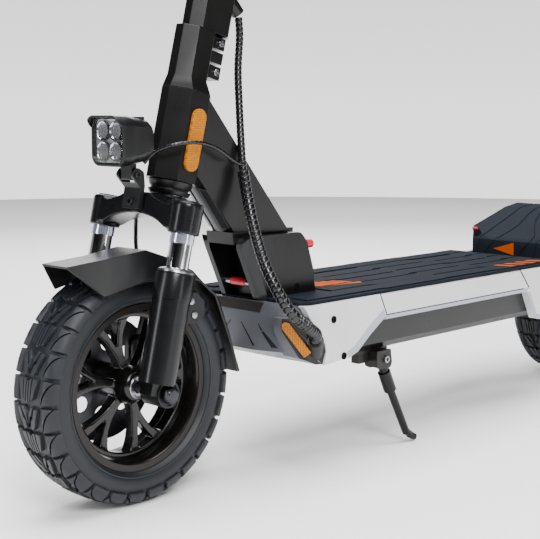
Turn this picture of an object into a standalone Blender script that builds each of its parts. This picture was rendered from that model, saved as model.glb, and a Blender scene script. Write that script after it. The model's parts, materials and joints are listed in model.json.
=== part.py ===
"""Electric kick scooter: folding neck, sprung front fork, hub-motor rear wheel on a swingarm.

Metres, +X forward, +Y to the rider's left, +Z up, ground at z = 0.
Lengths along the scooter are measured from the front axle, forward positive, and
fore() moves them into the frame, whose origin is below the middle of the scooter.
Pieces on the steering axis are drawn in its own frame (a forward, y left, s up the
axis) and moved into place by STEERING.
"""
import math

import bmesh
import bpy
from mathutils import Matrix, Vector

# Driving dimensions
TYRE_RADIUS = 0.1285
TYRE_HALF_WIDTH = 0.0357
TREAD_HALF_WIDTH = 0.020
RIM_RADIUS = 0.0918
RIM_HALF_WIDTH = 0.0256
RIM_BARREL = 0.0832
WHEELBASE = 0.941
REAR_FENDER_RADIUS = 0.1415
DECK_TOP = 0.2095
MAT_THICKNESS = 0.0057
BOX_BOTTOM = 0.132
BOX_HALF_WIDTH = 0.089
DECK_HALF_WIDTH = 0.098
DECK_FRONT = -0.222
DECK_REAR = -0.742
STRIP_BOTTOM = 0.171
RAKE = math.radians(14.0)
AXIS_X = -0.0555
AXIS_Z = 0.298
FORK_OFFSET = 0.0282
FORK_HALF_SPACING = 0.0665
STANCHION_RADIUS = 0.0123
LOWER_RADIUS = 0.0198
LOWER_TOP = -0.051
LOWER_BOTTOM = -0.168
HEAD_BOTTOM = 0.0495
HEAD_TOP = 0.150
CLAMP_TOP = 0.2216
BAR_S = 0.870
BAR_A = -0.010
BAR_RADIUS = 0.0127
BAR_END_RADIUS = 0.0111
BAR_HALF_LENGTH = 0.300
FOLD_X = -0.231
FOLD_Z = 0.2155
FOLD_PIN_RADIUS = 0.0040
CHEEK_INNER = 0.0228
CHEEK_OUTER = 0.0395
NECK_BOTTOM = 0.2824
SWING_X = -0.760
SWING_Z = 0.165
REAR_AXLE_RADIUS = 0.0074
SHOCK_X = -0.7885
GAP = 0.0003

LENGTH = TYRE_RADIUS + WHEELBASE + REAR_FENDER_RADIUS
FRONT_X = LENGTH / 2 - TYRE_RADIUS
REAR_X = FRONT_X - WHEELBASE
FRAME_TOP = DECK_TOP - MAT_THICKNESS


def fore(x):
    """Place along the scooter, from a distance ahead of the front axle."""
    return FRONT_X + x


def on_axis(s, a=0.0):
    """Point on the steering axis frame, as (x, z)."""
    x = fore(AXIS_X) - s * math.sin(RAKE) + a * math.cos(RAKE)
    z = AXIS_Z + s * math.cos(RAKE) + a * math.sin(RAKE)
    return x, z


STEERING = Matrix.Translation((fore(AXIS_X), 0, AXIS_Z)) @ Matrix.Rotation(-RAKE, 4, "Y")
FRONT_AXLE = Vector((FRONT_X, 0, TYRE_RADIUS))
REAR_AXLE = Vector((REAR_X, 0, TYRE_RADIUS))
# The front axle in the steering frame
AXLE_A = -AXIS_X * math.cos(RAKE) + (TYRE_RADIUS - AXIS_Z) * math.sin(RAKE)
AXLE_S = AXIS_X * math.sin(RAKE) + (TYRE_RADIUS - AXIS_Z) * math.cos(RAKE)

# Material: base colour, roughness, metallic
LOOKS = {
    "frame_black": ((0.035, 0.034, 0.036), 0.42, 0.3),
    "fork_graphite": ((0.045, 0.046, 0.050), 0.38, 0.5),
    "chrome": ((0.80, 0.80, 0.82), 0.08, 1.0),
    "tyre": ((0.030, 0.032, 0.036), 0.85, 0.0),
    "rim_black": ((0.018, 0.018, 0.020), 0.35, 0.4),
    "steel": ((0.45, 0.45, 0.47), 0.30, 1.0),
    "plastic_black": ((0.022, 0.022, 0.024), 0.50, 0.0),
    "cover_white": ((0.72, 0.72, 0.74), 0.40, 0.1),
    "mat_rubber": ((0.045, 0.050, 0.062), 0.80, 0.0),
    "nose_grey": ((0.13, 0.135, 0.145), 0.45, 0.3),
    "amber": ((0.90, 0.36, 0.01), 0.30, 0.0),
    "red": ((0.70, 0.03, 0.05), 0.40, 0.0),
    "lens": ((0.85, 0.87, 0.90), 0.05, 0.0),
    "battery_blue": ((0.05, 0.10, 0.22), 0.60, 0.0),
    "rubber": ((0.020, 0.020, 0.022), 0.75, 0.0),
    "cable_black": ((0.012, 0.012, 0.014), 0.35, 0.0),
    "screen": ((0.008, 0.009, 0.012), 0.08, 0.0),
}


# --- small tools ---------------------------------------------------------------

def clear_scene():
    for obj in list(bpy.data.objects):
        bpy.data.objects.remove(obj)


def material(look):
    if look in bpy.data.materials:
        return bpy.data.materials[look]
    colour, roughness, metallic = LOOKS[look]
    made = bpy.data.materials.new(look)
    made.use_nodes = True
    shader = made.node_tree.nodes["Principled BSDF"]
    shader.inputs["Base Color"].default_value = (*colour, 1.0)
    shader.inputs["Roughness"].default_value = roughness
    shader.inputs["Metallic"].default_value = metallic
    return made


def prism(outline, axis, low, high):
    """Closed outline swept along x, y or z. The outline gives the other two axes in order."""
    bm = bmesh.new()

    def corner(p):
        if axis == "x":
            return (low, p[0], p[1])
        if axis == "y":
            return (p[0], low, p[1])
        return (p[0], p[1], low)

    face = bm.faces.new([bm.verts.new(corner(p)) for p in outline])
    swept = bmesh.ops.extrude_face_region(bm, geom=[face])
    step = Vector({"x": (1, 0, 0), "y": (0, 1, 0), "z": (0, 0, 1)}[axis]) * (high - low)
    moved = [v for v in swept["geom"] if isinstance(v, bmesh.types.BMVert)]
    bmesh.ops.translate(bm, vec=step, verts=moved)
    bmesh.ops.recalc_face_normals(bm, faces=bm.faces)
    return bm


def box(x, y, z):
    """Box from three (low, high) pairs."""
    return prism([(x[0], y[0]), (x[1], y[0]), (x[1], y[1]), (x[0], y[1])], "z", z[0], z[1])


def loft(rings):
    """Skin over equal rings of points, with a flat cap on both ends."""
    bm = bmesh.new()
    loops = [[bm.verts.new(p) for p in ring] for ring in rings]
    count = len(rings[0])
    for lower, upper in zip(loops, loops[1:]):
        for i in range(count):
            j = (i + 1) % count
            bm.faces.new((lower[i], lower[j], upper[j], upper[i]))
    bm.faces.new(loops[0])
    bm.faces.new(loops[-1])
    bmesh.ops.recalc_face_normals(bm, faces=bm.faces)
    return bm


def turned(profile, centre, axis="Y", segments=32):
    """Closed (height, radius) profile spun round an axis through centre."""
    bm = bmesh.new()
    verts = [bm.verts.new((r, 0, h)) for h, r in profile]
    edges = [bm.edges.new((verts[i], verts[(i + 1) % len(verts)])) for i in range(len(verts))]
    bmesh.ops.spin(bm, geom=verts + edges, cent=(0, 0, 0), axis=(0, 0, 1),
                   angle=2 * math.pi, steps=segments, use_merge=True)
    bmesh.ops.remove_doubles(bm, verts=bm.verts, dist=1e-6)
    # A profile that runs along the axis leaves a bare edge there
    bmesh.ops.delete(bm, geom=[e for e in bm.edges if e.is_wire], context="EDGES")
    bmesh.ops.recalc_face_normals(bm, faces=bm.faces)
    turn = {"Y": Matrix.Rotation(-math.pi / 2, 4, "X"), "Z": Matrix.Identity(4)}[axis]
    # A vertex points straight down, so a wheel's lowest point is its full radius
    start = Matrix.Rotation(math.pi / 2, 4, "Z") if axis == "Y" else Matrix.Identity(4)
    bmesh.ops.transform(bm, matrix=Matrix.Translation(centre) @ turn @ start, verts=bm.verts)
    return bm


def rod(start, end, radius, segments=16, end_radius=None):
    """Round bar between two points."""
    start, end = Vector(start), Vector(end)
    along = end - start
    bm = bmesh.new()
    bmesh.ops.create_cone(bm, cap_ends=True, segments=segments, radius1=radius,
                          radius2=radius if end_radius is None else end_radius, depth=along.length)
    turn = along.to_track_quat("Z", "Y").to_matrix().to_4x4()
    bmesh.ops.transform(bm, matrix=Matrix.Translation((start + end) / 2) @ turn, verts=bm.verts)
    return bm


def bar_y(x, z, low, high, radius, segments=16):
    """Round bar along y."""
    return rod((x, low, z), (x, high, z), radius, segments)


def moved(bm, matrix):
    bmesh.ops.transform(bm, matrix=matrix, verts=bm.verts)
    if matrix.determinant() < 0:
        bmesh.ops.reverse_faces(bm, faces=bm.faces)
    return bm


def mirrored(bm):
    """Left piece to right piece."""
    return moved(bm, Matrix.Scale(-1, 4, (0, 1, 0)))


def sliced(bm, point, normal):
    """Cut away what lies on the normal's side of a plane, and close the cut."""
    geom = list(bm.verts) + list(bm.edges) + list(bm.faces)
    bmesh.ops.bisect_plane(bm, geom=geom, plane_co=point, plane_no=normal, clear_outer=True)
    rim = [e for e in bm.edges if e.is_boundary]
    bmesh.ops.holes_fill(bm, edges=rim, sides=0)
    bmesh.ops.recalc_face_normals(bm, faces=bm.faces)
    return bm


def softened(bm, width, segments=1, least_angle=35):
    """Bevel the edges that are sharper than an angle."""
    limit = math.radians(least_angle)
    edges = [e for e in bm.edges if e.is_manifold and e.calc_face_angle(0) > limit]
    bmesh.ops.bevel(bm, geom=edges, offset=width, segments=segments, affect="EDGES",
                    profile=0.5, clamp_overlap=True)
    return bm


def rounded(corners, steps=3):
    """Outline with its corners rounded: each corner is (u, v) or (u, v, radius)."""
    outline = []
    count = len(corners)
    for i, corner in enumerate(corners):
        here = Vector(corner[:2])
        if len(corner) == 2:
            outline.append(tuple(here))
            continue
        back = Vector(corners[i - 1][:2]) - here
        ahead = Vector(corners[(i + 1) % count][:2]) - here
        half = back.angle(ahead) / 2
        reach = corner[2] / math.tan(half)
        start = here + back.normalized() * reach
        end = here + ahead.normalized() * reach
        middle = here + (back.normalized() + ahead.normalized()).normalized() * corner[2] / math.sin(half)
        first, last = start - middle, end - middle
        sweep = first.angle_signed(last)
        for k in range(steps + 1):
            turn = Matrix.Rotation(-sweep * k / steps, 2)
            outline.append(tuple(middle + turn @ first))
    return outline


def body_of(bm, name, look):
    mesh = bpy.data.meshes.new(name)
    bm.to_mesh(mesh)
    bm.free()
    obj = bpy.data.objects.new(name, mesh)
    bpy.context.scene.collection.objects.link(obj)
    mesh.materials.append(material(look))
    return obj


def combine(obj, bm, operation):
    """Boolean another shape into an object."""
    tool = body_of(bm, obj.name + "_tool", "steel")
    modifier = obj.modifiers.new("combine", "BOOLEAN")
    modifier.operation = operation
    modifier.solver = "EXACT"
    modifier.object = tool
    bpy.context.view_layer.update()
    result = bpy.data.meshes.new_from_object(obj.evaluated_get(bpy.context.evaluated_depsgraph_get()))
    obj.modifiers.clear()
    old = obj.data
    look = old.materials[0]
    obj.data = result
    result.materials.clear()
    result.materials.append(look)
    for face in result.polygons:
        face.material_index = 0
    bpy.data.meshes.remove(old)
    bpy.data.objects.remove(tool)


def piece(name, look, base, add=(), cut=(), smooth=30):
    """One named solid: a base shape with others joined on, then others cut away."""
    obj = body_of(base, name, look)
    for bm in add:
        combine(obj, bm, "UNION")
    for bm in cut:
        combine(obj, bm, "DIFFERENCE")
    obj.data.shade_smooth()
    obj.data.set_sharp_from_angle(angle=math.radians(smooth))
    return obj


def side_outline(points):
    """Side profile given from the front axle, moved into the frame."""
    return [(fore(p[0]), *p[1:]) for p in points]


def route(points, spacing):
    """Evenly spread points along a smooth curve through a cable's route."""
    route_points = [Vector(p) for p in points]
    ends = [2 * route_points[0] - route_points[1], 2 * route_points[-1] - route_points[-2]]
    chain = [ends[0]] + route_points + [ends[1]]
    fine = []
    for i in range(1, len(chain) - 2):
        p0, p1, p2, p3 = chain[i - 1:i + 3]
        for k in range(20):
            t = k / 20
            fine.append(0.5 * (2 * p1 + (p2 - p0) * t + (2 * p0 - 5 * p1 + 4 * p2 - p3) * t * t
                               + (3 * p1 - p0 - 3 * p2 + p3) * t ** 3))
    fine.append(chain[-2])
    total = sum((b - a).length for a, b in zip(fine, fine[1:]))
    count = max(3, round(total / spacing))
    spread, walked, k = [fine[0]], 0.0, 0
    for n in range(1, count):
        goal = total * n / count
        while walked + (fine[k + 1] - fine[k]).length < goal:
            walked += (fine[k + 1] - fine[k]).length
            k += 1
        step = fine[k + 1] - fine[k]
        spread.append(fine[k] + step * ((goal - walked) / step.length))
    spread.append(fine[-1])
    return spread


def cable(name, points, diameter):
    """Cable tube along a route."""
    curve = bpy.data.curves.new(name, "CURVE")
    curve.dimensions = "3D"
    curve.bevel_depth = diameter / 2
    curve.bevel_resolution = 2
    curve.use_fill_caps = True
    path = route(points, min(diameter * 2.5, 0.018))
    spline = curve.splines.new("POLY")
    spline.points.add(len(path) - 1)
    for point, place in zip(spline.points, path):
        point.co = (*place, 1.0)
    obj = bpy.data.objects.new(name, curve)
    bpy.context.scene.collection.objects.link(obj)
    curve.materials.append(material("cable_black"))
    return obj


def octagon(section, s):
    """Ring of a stem tube: (front, side front, side rear, rear, then the three half widths)."""
    front, side_front, side_rear, rear, half_front, half_side, half_rear = section
    left = [(front, half_front), (side_front, half_side), (side_rear, half_side), (rear, half_rear)]
    ring = left + [(a, -y) for a, y in reversed(left)]
    return [(a, y, s) for a, y in ring]


STEM_SECTION = (0.0190, 0.0080, -0.0310, -0.0387, 0.0058, 0.0170, 0.0090)
CLAMP_SECTION = (0.0268, 0.0138, -0.0090, -0.0170, 0.0060, 0.0190, 0.0110)
HEAD_SECTION = (0.0310, 0.0141, -0.0124, -0.0260, 0.0063, 0.0260, 0.0125)


# --- deck ----------------------------------------------------------------------

def deck_frame():
    """Extruded hollow box for the battery, open at both ends, with the swingarm's lugs."""
    half, low = BOX_HALF_WIDTH, BOX_BOTTOM
    outline = [(-half, low + 0.009), (-half + 0.009, low), (half - 0.009, low), (half, low + 0.009),
               (half, FRAME_TOP), (-half, FRAME_TOP)]
    shell = prism(outline, "x", fore(DECK_REAR), fore(DECK_FRONT))
    hollow = box((fore(DECK_REAR) - 0.01, fore(DECK_FRONT) + 0.01), (-half + 0.005, half - 0.005),
                 (low + 0.010, FRAME_TOP - 0.006))
    shelf = box((fore(-0.800), fore(DECK_REAR) + 0.004), (-0.080, 0.080), (FRAME_TOP - 0.005, FRAME_TOP))
    lug_outline = rounded(side_outline([(DECK_REAR + 0.012, 0.145), (DECK_REAR + 0.012, FRAME_TOP - 0.003),
                                        (-0.790, FRAME_TOP - 0.003), (-0.778, 0.150, 0.008)]))
    lugs = [prism(lug_outline, "y", y, y + 0.010) for y in (0.066, -0.076)]
    pivot = bar_y(fore(SWING_X), SWING_Z, -0.1, 0.1, 0.0064, 20)
    return piece("deck_frame", "frame_black", shell, add=[shelf] + lugs, cut=[hollow, pivot])


def battery_pack():
    pack = box((fore(-0.725), fore(-0.300)), (-0.075, 0.075), (BOX_BOTTOM + 0.0105, FRAME_TOP - 0.010))
    return piece("battery_pack", "battery_blue", softened(pack, 0.003))


def controller():
    case = box((fore(-0.292), fore(-0.228)), (-0.045, 0.045), (BOX_BOTTOM + 0.0105, 0.176))
    fins = [box((fore(-0.288), fore(-0.232)), (y, y + 0.004), (0.174, 0.184))
            for y in (-0.038, -0.022, -0.006, 0.010, 0.026)]
    return piece("controller", "steel", case, add=fins)


def deck_mat():
    """Grip mat, notched round the fold block."""
    side, notch = DECK_HALF_WIDTH, CHEEK_OUTER + 0.0006
    left = side_outline([(-0.2655, notch), (-0.1785, notch), (-0.1790, 0.089), (-0.1920, side),
                         (-0.7325, side), (-0.7410, 0.0895)])
    outline = left + [(x, -y) for x, y in reversed(left)]
    return piece("deck_mat", "mat_rubber", prism(outline, "z", FRAME_TOP + GAP, DECK_TOP))


def nose_section(z, front, front_half, corner_x, corner_y, side_x):
    """Half plan of the nose at one height, mirrored into a ring."""
    rear = DECK_FRONT + 0.0005
    left = side_outline([(front, front_half), (corner_x, corner_y), (side_x, BOX_HALF_WIDTH),
                         (rear, BOX_HALF_WIDTH)])
    return [(x, y, z) for x, y in left] + [(x, -y, z) for x, y in reversed(left)]


def reflector_axes():
    """Ends of the left corner reflector, its facing direction and its width direction."""
    top = Vector((fore(-0.1655), 0.0790, 0.1850))
    bottom = Vector((fore(-0.1876), 0.0964, 0.1474))
    along = (top - bottom).normalized()
    out = Vector((0.66, 0.72, 0.10))
    out = (out - along * out.dot(along)).normalized()
    return top, bottom, out, out.cross(along).normalized()


CHEEK_REAR_EDGE = [(-0.1895, 0.1888), (-0.2165, 0.1550), (-0.2185, 0.1460), (-0.2135, 0.1325)]


def nose_cover():
    """Faceted front cover with a raised cheek on each side and the cable's entry boss."""
    shape = loft([nose_section(0.1330, -0.2000, 0.030, -0.2040, 0.080, -0.2080),
                  nose_section(0.1470, -0.1650, 0.030, -0.1800, 0.080, -0.1960),
                  nose_section(0.1870, -0.1685, 0.052, -0.1700, 0.070, -0.1860),
                  nose_section(FRAME_TOP, -0.1720, 0.040, -0.1775, 0.080, -0.1880)])
    cheek = side_outline([(-0.1640, 0.1900)] + CHEEK_REAR_EDGE
                         + [(-0.2020, 0.1335), (-0.1800, 0.1430), (-0.1640, 0.1750)])
    top, bottom, out, across = reflector_axes()
    left = sliced(prism(cheek, "y", 0.066, 0.0965), bottom + out * 0.0006, out)
    right = mirrored(left.copy())
    boss = rod((fore(-0.2065), 0.0880, 0.1440), CABLE_ENTRY, 0.0106, 16, 0.0100)
    return piece("nose_cover", "nose_grey", shape, add=[left, right, boss])


def front_cover_outline():
    return side_outline([(-0.1790, FRAME_TOP), (-0.1840, 0.1985), (-0.1900, 0.1898), (-0.2171, 0.1556),
                         (-0.2192, 0.1457), (-0.2145, 0.1310), (-0.2590, 0.1330), (-0.2750, 0.1380),
                         (-0.3000, 0.1570), (-0.3300, 0.1765), (-0.3165, FRAME_TOP)])


def strip_outline():
    return side_outline([(-0.3171, FRAME_TOP), (-0.3306, 0.1768), (-0.3275, STRIP_BOTTOM),
                         (-0.6470, STRIP_BOTTOM), (-0.6530, 0.1775), (-0.6295, FRAME_TOP)])


def rear_cover_outline():
    return side_outline([(-0.6301, FRAME_TOP), (-0.6537, 0.1776), (-0.6476, 0.1705), (-0.6695, 0.1305),
                         (-0.7000, 0.1245), (-0.7800, 0.1290), (-0.8050, 0.1500), (-0.8120, 0.1800),
                         (-0.8020, FRAME_TOP)])


def side_covers():
    shapes = {"front_cover": (front_cover_outline(), 0.0985), "side_strip": (strip_outline(), 0.0980),
              "rear_cover": (rear_cover_outline(), 0.0985)}
    made = []
    for kind, (outline, outer) in shapes.items():
        inner = BOX_HALF_WIDTH + GAP
        left = prism(outline, "y", inner, outer)
        right = mirrored(prism(outline, "y", inner, outer))
        made.append(piece(kind + "_left", "cover_white", left))
        made.append(piece(kind + "_right", "cover_white", right))
    return made


def fold_block():
    """Two cheeks on a floor plate. The neck's foot folds back between them."""
    outline = rounded(side_outline([(-0.1395, 0.2812, 0.011), (-0.2380, 0.2812, 0.011),
                                    (-0.2490, 0.2690, 0.012), (-0.2600, 0.2360), (-0.2647, FRAME_TOP + GAP),
                                    (-0.1745, FRAME_TOP + GAP)]))
    block = prism(outline, "y", -CHEEK_OUTER, CHEEK_OUTER)
    # Front outer edges chamfered by 9 mm
    lean = Vector((-0.0350, 0, -0.0774)).normalized()
    for side in (1, -1):
        edge = Vector((fore(-0.1395), side * (CHEEK_OUTER - 0.009), 0.2812))
        across = Vector((-0.009, side * 0.009, 0))
        normal = lean.cross(across).normalized()
        if normal.x < 0:
            normal = -normal
        sliced(block, edge, normal)
    slot = box((fore(-0.300), fore(-0.100)), (-CHEEK_INNER, CHEEK_INNER), (0.2062, 0.300))
    saddle = side_outline([(-0.1860, 0.2055), (-0.1860, 0.2625), (-0.2080, 0.2588), (-0.2080, 0.2055)])
    pin = bar_y(fore(FOLD_X), FOLD_Z, -0.05, 0.05, FOLD_PIN_RADIUS + GAP, 20)
    plunger = rod((fore(-0.2340), 0.0320, 0.2650), (fore(-0.2700), 0.0320, 0.2650), 0.0042, 12)
    obj = piece("fold_block", "frame_black", block, cut=[slot, pin, plunger])
    combine(obj, prism(saddle, "y", -CHEEK_INNER - 0.002, CHEEK_INNER + 0.002), "UNION")
    obj.data.shade_smooth()
    obj.data.set_sharp_from_angle(angle=math.radians(30))
    return obj


def fold_pin():
    return piece("fold_pin", "steel", bar_y(fore(FOLD_X), FOLD_Z, -0.0390, 0.0390, FOLD_PIN_RADIUS, 20))


def release_knob():
    """Spring plunger with a red head, pulled rearward to free the neck."""
    shaft = rod((fore(-0.2380), 0.0320, 0.2650), (fore(-0.2540), 0.0320, 0.2650), 0.0036, 12)
    head = rod((fore(-0.2530), 0.0320, 0.2650), (fore(-0.2640), 0.0320, 0.2650), 0.0056, 16, 0.0050)
    return piece("release_knob", "red", shaft, add=[head])


def side_reflector(side):
    """Amber lens on the front corner of the nose."""
    top, bottom, out, across = reflector_axes()
    half, depth = 0.0050, 0.004
    rings = []
    for lift in (0.0012, 0.0012 + depth):
        ring = []
        for u, v in ((0, -half * 0.5), (0.008, -half), (0.9, -half), (1, -half * 0.4), (1, half * 0.4),
                     (0.9, half), (0.008, half), (0, half * 0.5)):
            ring.append(bottom + (top - bottom) * u + across * v + out * lift)
        rings.append(ring)
    shape = loft([[tuple(p) for p in ring] for ring in rings])
    name = "side_reflector_left" if side > 0 else "side_reflector_right"
    return piece(name, "amber", shape if side > 0 else mirrored(shape))


def kick_plate():
    """Raised rear foot rest, open underneath where the tyre passes."""
    profile = side_outline([(-0.7420, FRAME_TOP + GAP), (-0.7430, 0.2300), (-0.8550, 0.2715), (-0.8950, 0.2755),
                            (-0.8950, 0.2705), (-0.8570, 0.2660), (-0.8150, 0.2490), (-0.8050, FRAME_TOP + GAP)])
    plate = prism(profile, "y", -0.0880, 0.0880)
    for side in (1, -1):
        sliced(plate, (fore(-0.7420), side * 0.060, 0.22), Vector((0.55, side * 0.83, 0)).normalized())
        sliced(plate, (fore(-0.8000), side * 0.0790, 0.2560), Vector((0.15, side * 0.70, 0.70)).normalized())
    hook = rounded(side_outline([(-0.7600, 0.2330), (-0.7530, 0.2420), (-0.7460, 0.2470, 0.002),
                                 (-0.7430, 0.2440), (-0.7470, 0.2400), (-0.7480, 0.2300)]))
    return piece("kick_plate", "plastic_black", plate, add=[prism(hook, "y", -0.062, -0.054)])


KICKSTAND_X, KICKSTAND_Y, KICKSTAND_Z = -0.340, 0.080, 0.1185
KICKSTAND_FOOT = Vector((fore(-0.4085), 0.0845, 0.0046))


def kickstand_bracket():
    """Plate under the battery box with a clevis, closed in front, and its bolt."""
    plate = box((fore(-0.3560), fore(-0.2980)), (0.0520, 0.0790), (0.1274, BOX_BOTTOM - GAP))
    cheek = rounded(side_outline([(-0.3232, 0.1300), (-0.3232, 0.1110, 0.002), (-0.3300, 0.1065, 0.004),
                                  (-0.3500, 0.1065, 0.005), (-0.3530, 0.1130, 0.003), (-0.3500, 0.1300)]))
    cheeks = [prism(cheek, "y", y, y + 0.0035) for y in (0.0700, 0.0865)]
    web = box((fore(-0.3260), fore(-0.3234)), (0.0710, 0.0890), (0.1095, 0.1297))
    roof = box((fore(-0.3500), fore(-0.3234)), (0.0710, 0.0890), (0.1276, 0.1296))
    spring_post = box((fore(-0.3200), fore(-0.3020)), (0.0660, 0.0780), (0.1160, 0.1290))
    bolt = bar_y(fore(KICKSTAND_X), KICKSTAND_Z, 0.0690, 0.0915, 0.0036)
    return piece("kickstand_bracket", "plastic_black", plate, add=[*cheeks, web, roof, spring_post, bolt])


def kickstand():
    """Prop leg on the left: a thick sleeve, a thinner tube and a tip bent back along the ground."""
    hub = bar_y(fore(KICKSTAND_X), KICKSTAND_Z, 0.0742, 0.0858, 0.0080, 20)
    top = Vector((fore(KICKSTAND_X), KICKSTAND_Y, KICKSTAND_Z))
    sleeve_end = Vector((fore(-0.3610), 0.0810, 0.0745))
    bend = Vector((fore(-0.3935), 0.0828, 0.0130))
    sleeve = rod(top, sleeve_end, 0.0050, 20, 0.0072)
    collar = rod(top.lerp(sleeve_end, 0.42), sleeve_end, 0.0082, 20)
    leg = rod(sleeve_end + (top - sleeve_end) * 0.1, bend, 0.0052, 16, 0.0050)
    knee = rod(bend.lerp(top, 0.03), bend.lerp(KICKSTAND_FOOT, 0.5), 0.0050, 16, 0.0048)
    tip = rod(bend.lerp(KICKSTAND_FOOT, 0.3), KICKSTAND_FOOT, 0.0049, 16, 0.0045)
    hole = bar_y(fore(KICKSTAND_X), KICKSTAND_Z, 0.07, 0.09, 0.0040)
    ground = box((0.0, 0.2), (0.05, 0.12), (-0.02, 0.0))
    return piece("kickstand", "plastic_black", hub, add=[sleeve, collar, leg, knee, tip], cut=[hole, ground])


# --- neck ----------------------------------------------------------------------

def neck_frame():
    """Head tube, the beam behind it, and the foot that folds between the cheeks."""
    head = moved(loft([octagon(HEAD_SECTION, HEAD_BOTTOM), octagon(HEAD_SECTION, HEAD_TOP)]), STEERING)
    beam = prism(side_outline([(-0.0750, 0.4220), (-0.1060, 0.4358), (-0.2270, NECK_BOTTOM), (-0.1435, NECK_BOTTOM),
                               (-0.0985, 0.3405), (-0.0700, 0.3650)]), "y", -0.032, 0.032)
    side_normal = Vector((0.0017728, 0.01172736, -0.000836)).normalized()
    keel_top, keel_bottom = Vector((fore(-0.0989), 0.0057, 0.3400)), Vector((fore(-0.1381), 0.0057, 0.2898))
    shoulder = Vector((fore(-0.1437), 0.0180, 0.2902))
    chamfer_normal = (keel_top - keel_bottom).cross(shoulder - keel_bottom).normalized()
    if chamfer_normal.y < 0:
        chamfer_normal = -chamfer_normal
    for side in (1, -1):
        flip = Vector((1, side, 1))
        sliced(beam, shoulder * flip, side_normal * flip)
        sliced(beam, keel_bottom * flip, chamfer_normal * flip)
    inner = CHEEK_INNER - 0.0006
    foot = [(-0.1410, NECK_BOTTOM + 0.003), (-0.1425, 0.2715), (-0.2100, 0.2595), (-0.2200, 0.2240)]
    for degrees in (-10, -40, -70, -100, -130, -160, -180):
        turn = math.radians(degrees)
        foot.append((FOLD_X + 0.0088 * math.cos(turn), FOLD_Z + 0.0088 * math.sin(turn)))
    foot.append((-0.2425, NECK_BOTTOM + 0.003))
    foot_solid = prism(side_outline(foot), "y", -inner, inner)
    pin = bar_y(fore(FOLD_X), FOLD_Z, -0.05, 0.05, FOLD_PIN_RADIUS + GAP, 20)
    bore = moved(rod((0, 0, HEAD_BOTTOM - 0.05), (0, 0, HEAD_TOP + 0.02), 0.0152, 24), STEERING)
    return piece("neck_frame", "frame_black", head, add=[beam, foot_solid], cut=[pin, bore])


def head_reflector(side):
    """Amber lens with round ends on the head tube's flat side."""
    outline = rounded([(-0.0095, 0.0620, 0.0094), (0.0095, 0.0620, 0.0094), (0.0095, 0.1320, 0.0094),
                       (-0.0095, 0.1320, 0.0094)], 4)
    outer = HEAD_SECTION[5]
    lens = moved(prism(outline, "y", outer + GAP, outer + 0.0035), STEERING)
    name = "head_reflector_left" if side > 0 else "head_reflector_right"
    return piece(name, "amber", lens if side > 0 else mirrored(lens))


def lower_headset():
    """Bearing cup and dust boot between the head tube and the fork crown."""
    profile = [(0.0343, 0.0152), (0.0343, 0.0215), (0.0390, 0.0245), (0.0405, 0.0205), (0.0440, 0.0235),
               (0.0492, 0.0250), (0.0492, 0.0152)]
    return piece("lower_headset", "plastic_black", moved(turned(profile, (0, 0, 0), "Z", 28), STEERING))


# --- steering ------------------------------------------------------------------

def stem_clamp():
    """Octagonal collar and split clamp that grips the steerer, with three lugs behind."""
    collar = loft([octagon(HEAD_SECTION, HEAD_TOP + 0.0004), octagon(CLAMP_SECTION, 0.1655),
                   octagon(CLAMP_SECTION, CLAMP_TOP)])
    lugs = [box((-0.0370, -0.0120), (-0.0085, 0.0085), span)
            for span in ((0.1735, 0.1885), (0.1915, 0.2045), (0.2075, 0.2210))]
    bore = rod((0, 0, 0.1400), (0, 0, 0.2300), 0.0147, 24)
    return piece("stem_clamp", "frame_black", moved(collar, STEERING),
                 add=[moved(lug, STEERING) for lug in lugs], cut=[moved(bore, STEERING)])


def stem_tube():
    """Octagonal stem with the handlebar's clamp on top and the cable's outlet behind."""
    low = CLAMP_TOP + GAP
    tube = loft([octagon(STEM_SECTION, low), octagon(STEM_SECTION, BAR_S - 0.012)])
    ring = bar_y(BAR_A, BAR_S, -0.028, 0.028, 0.0215, 24)
    outlet = rod((-0.030, 0.004, 0.2700), STEM_OUTLET, 0.0085, 14, 0.0078)
    inside = loft([[(a * 0.76 - 0.002, y * 0.76, s) for a, y, s in octagon(STEM_SECTION, low - 0.01)],
                   [(a * 0.76 - 0.002, y * 0.76, s) for a, y, s in octagon(STEM_SECTION, BAR_S - 0.040)]])
    bar = bar_y(BAR_A, BAR_S, -0.05, 0.05, BAR_RADIUS + GAP, 24)
    return piece("stem_tube", "frame_black", moved(tube, STEERING),
                 add=[moved(ring, STEERING), moved(outlet, STEERING)],
                 cut=[moved(inside, STEERING), moved(bar, STEERING)])


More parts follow.
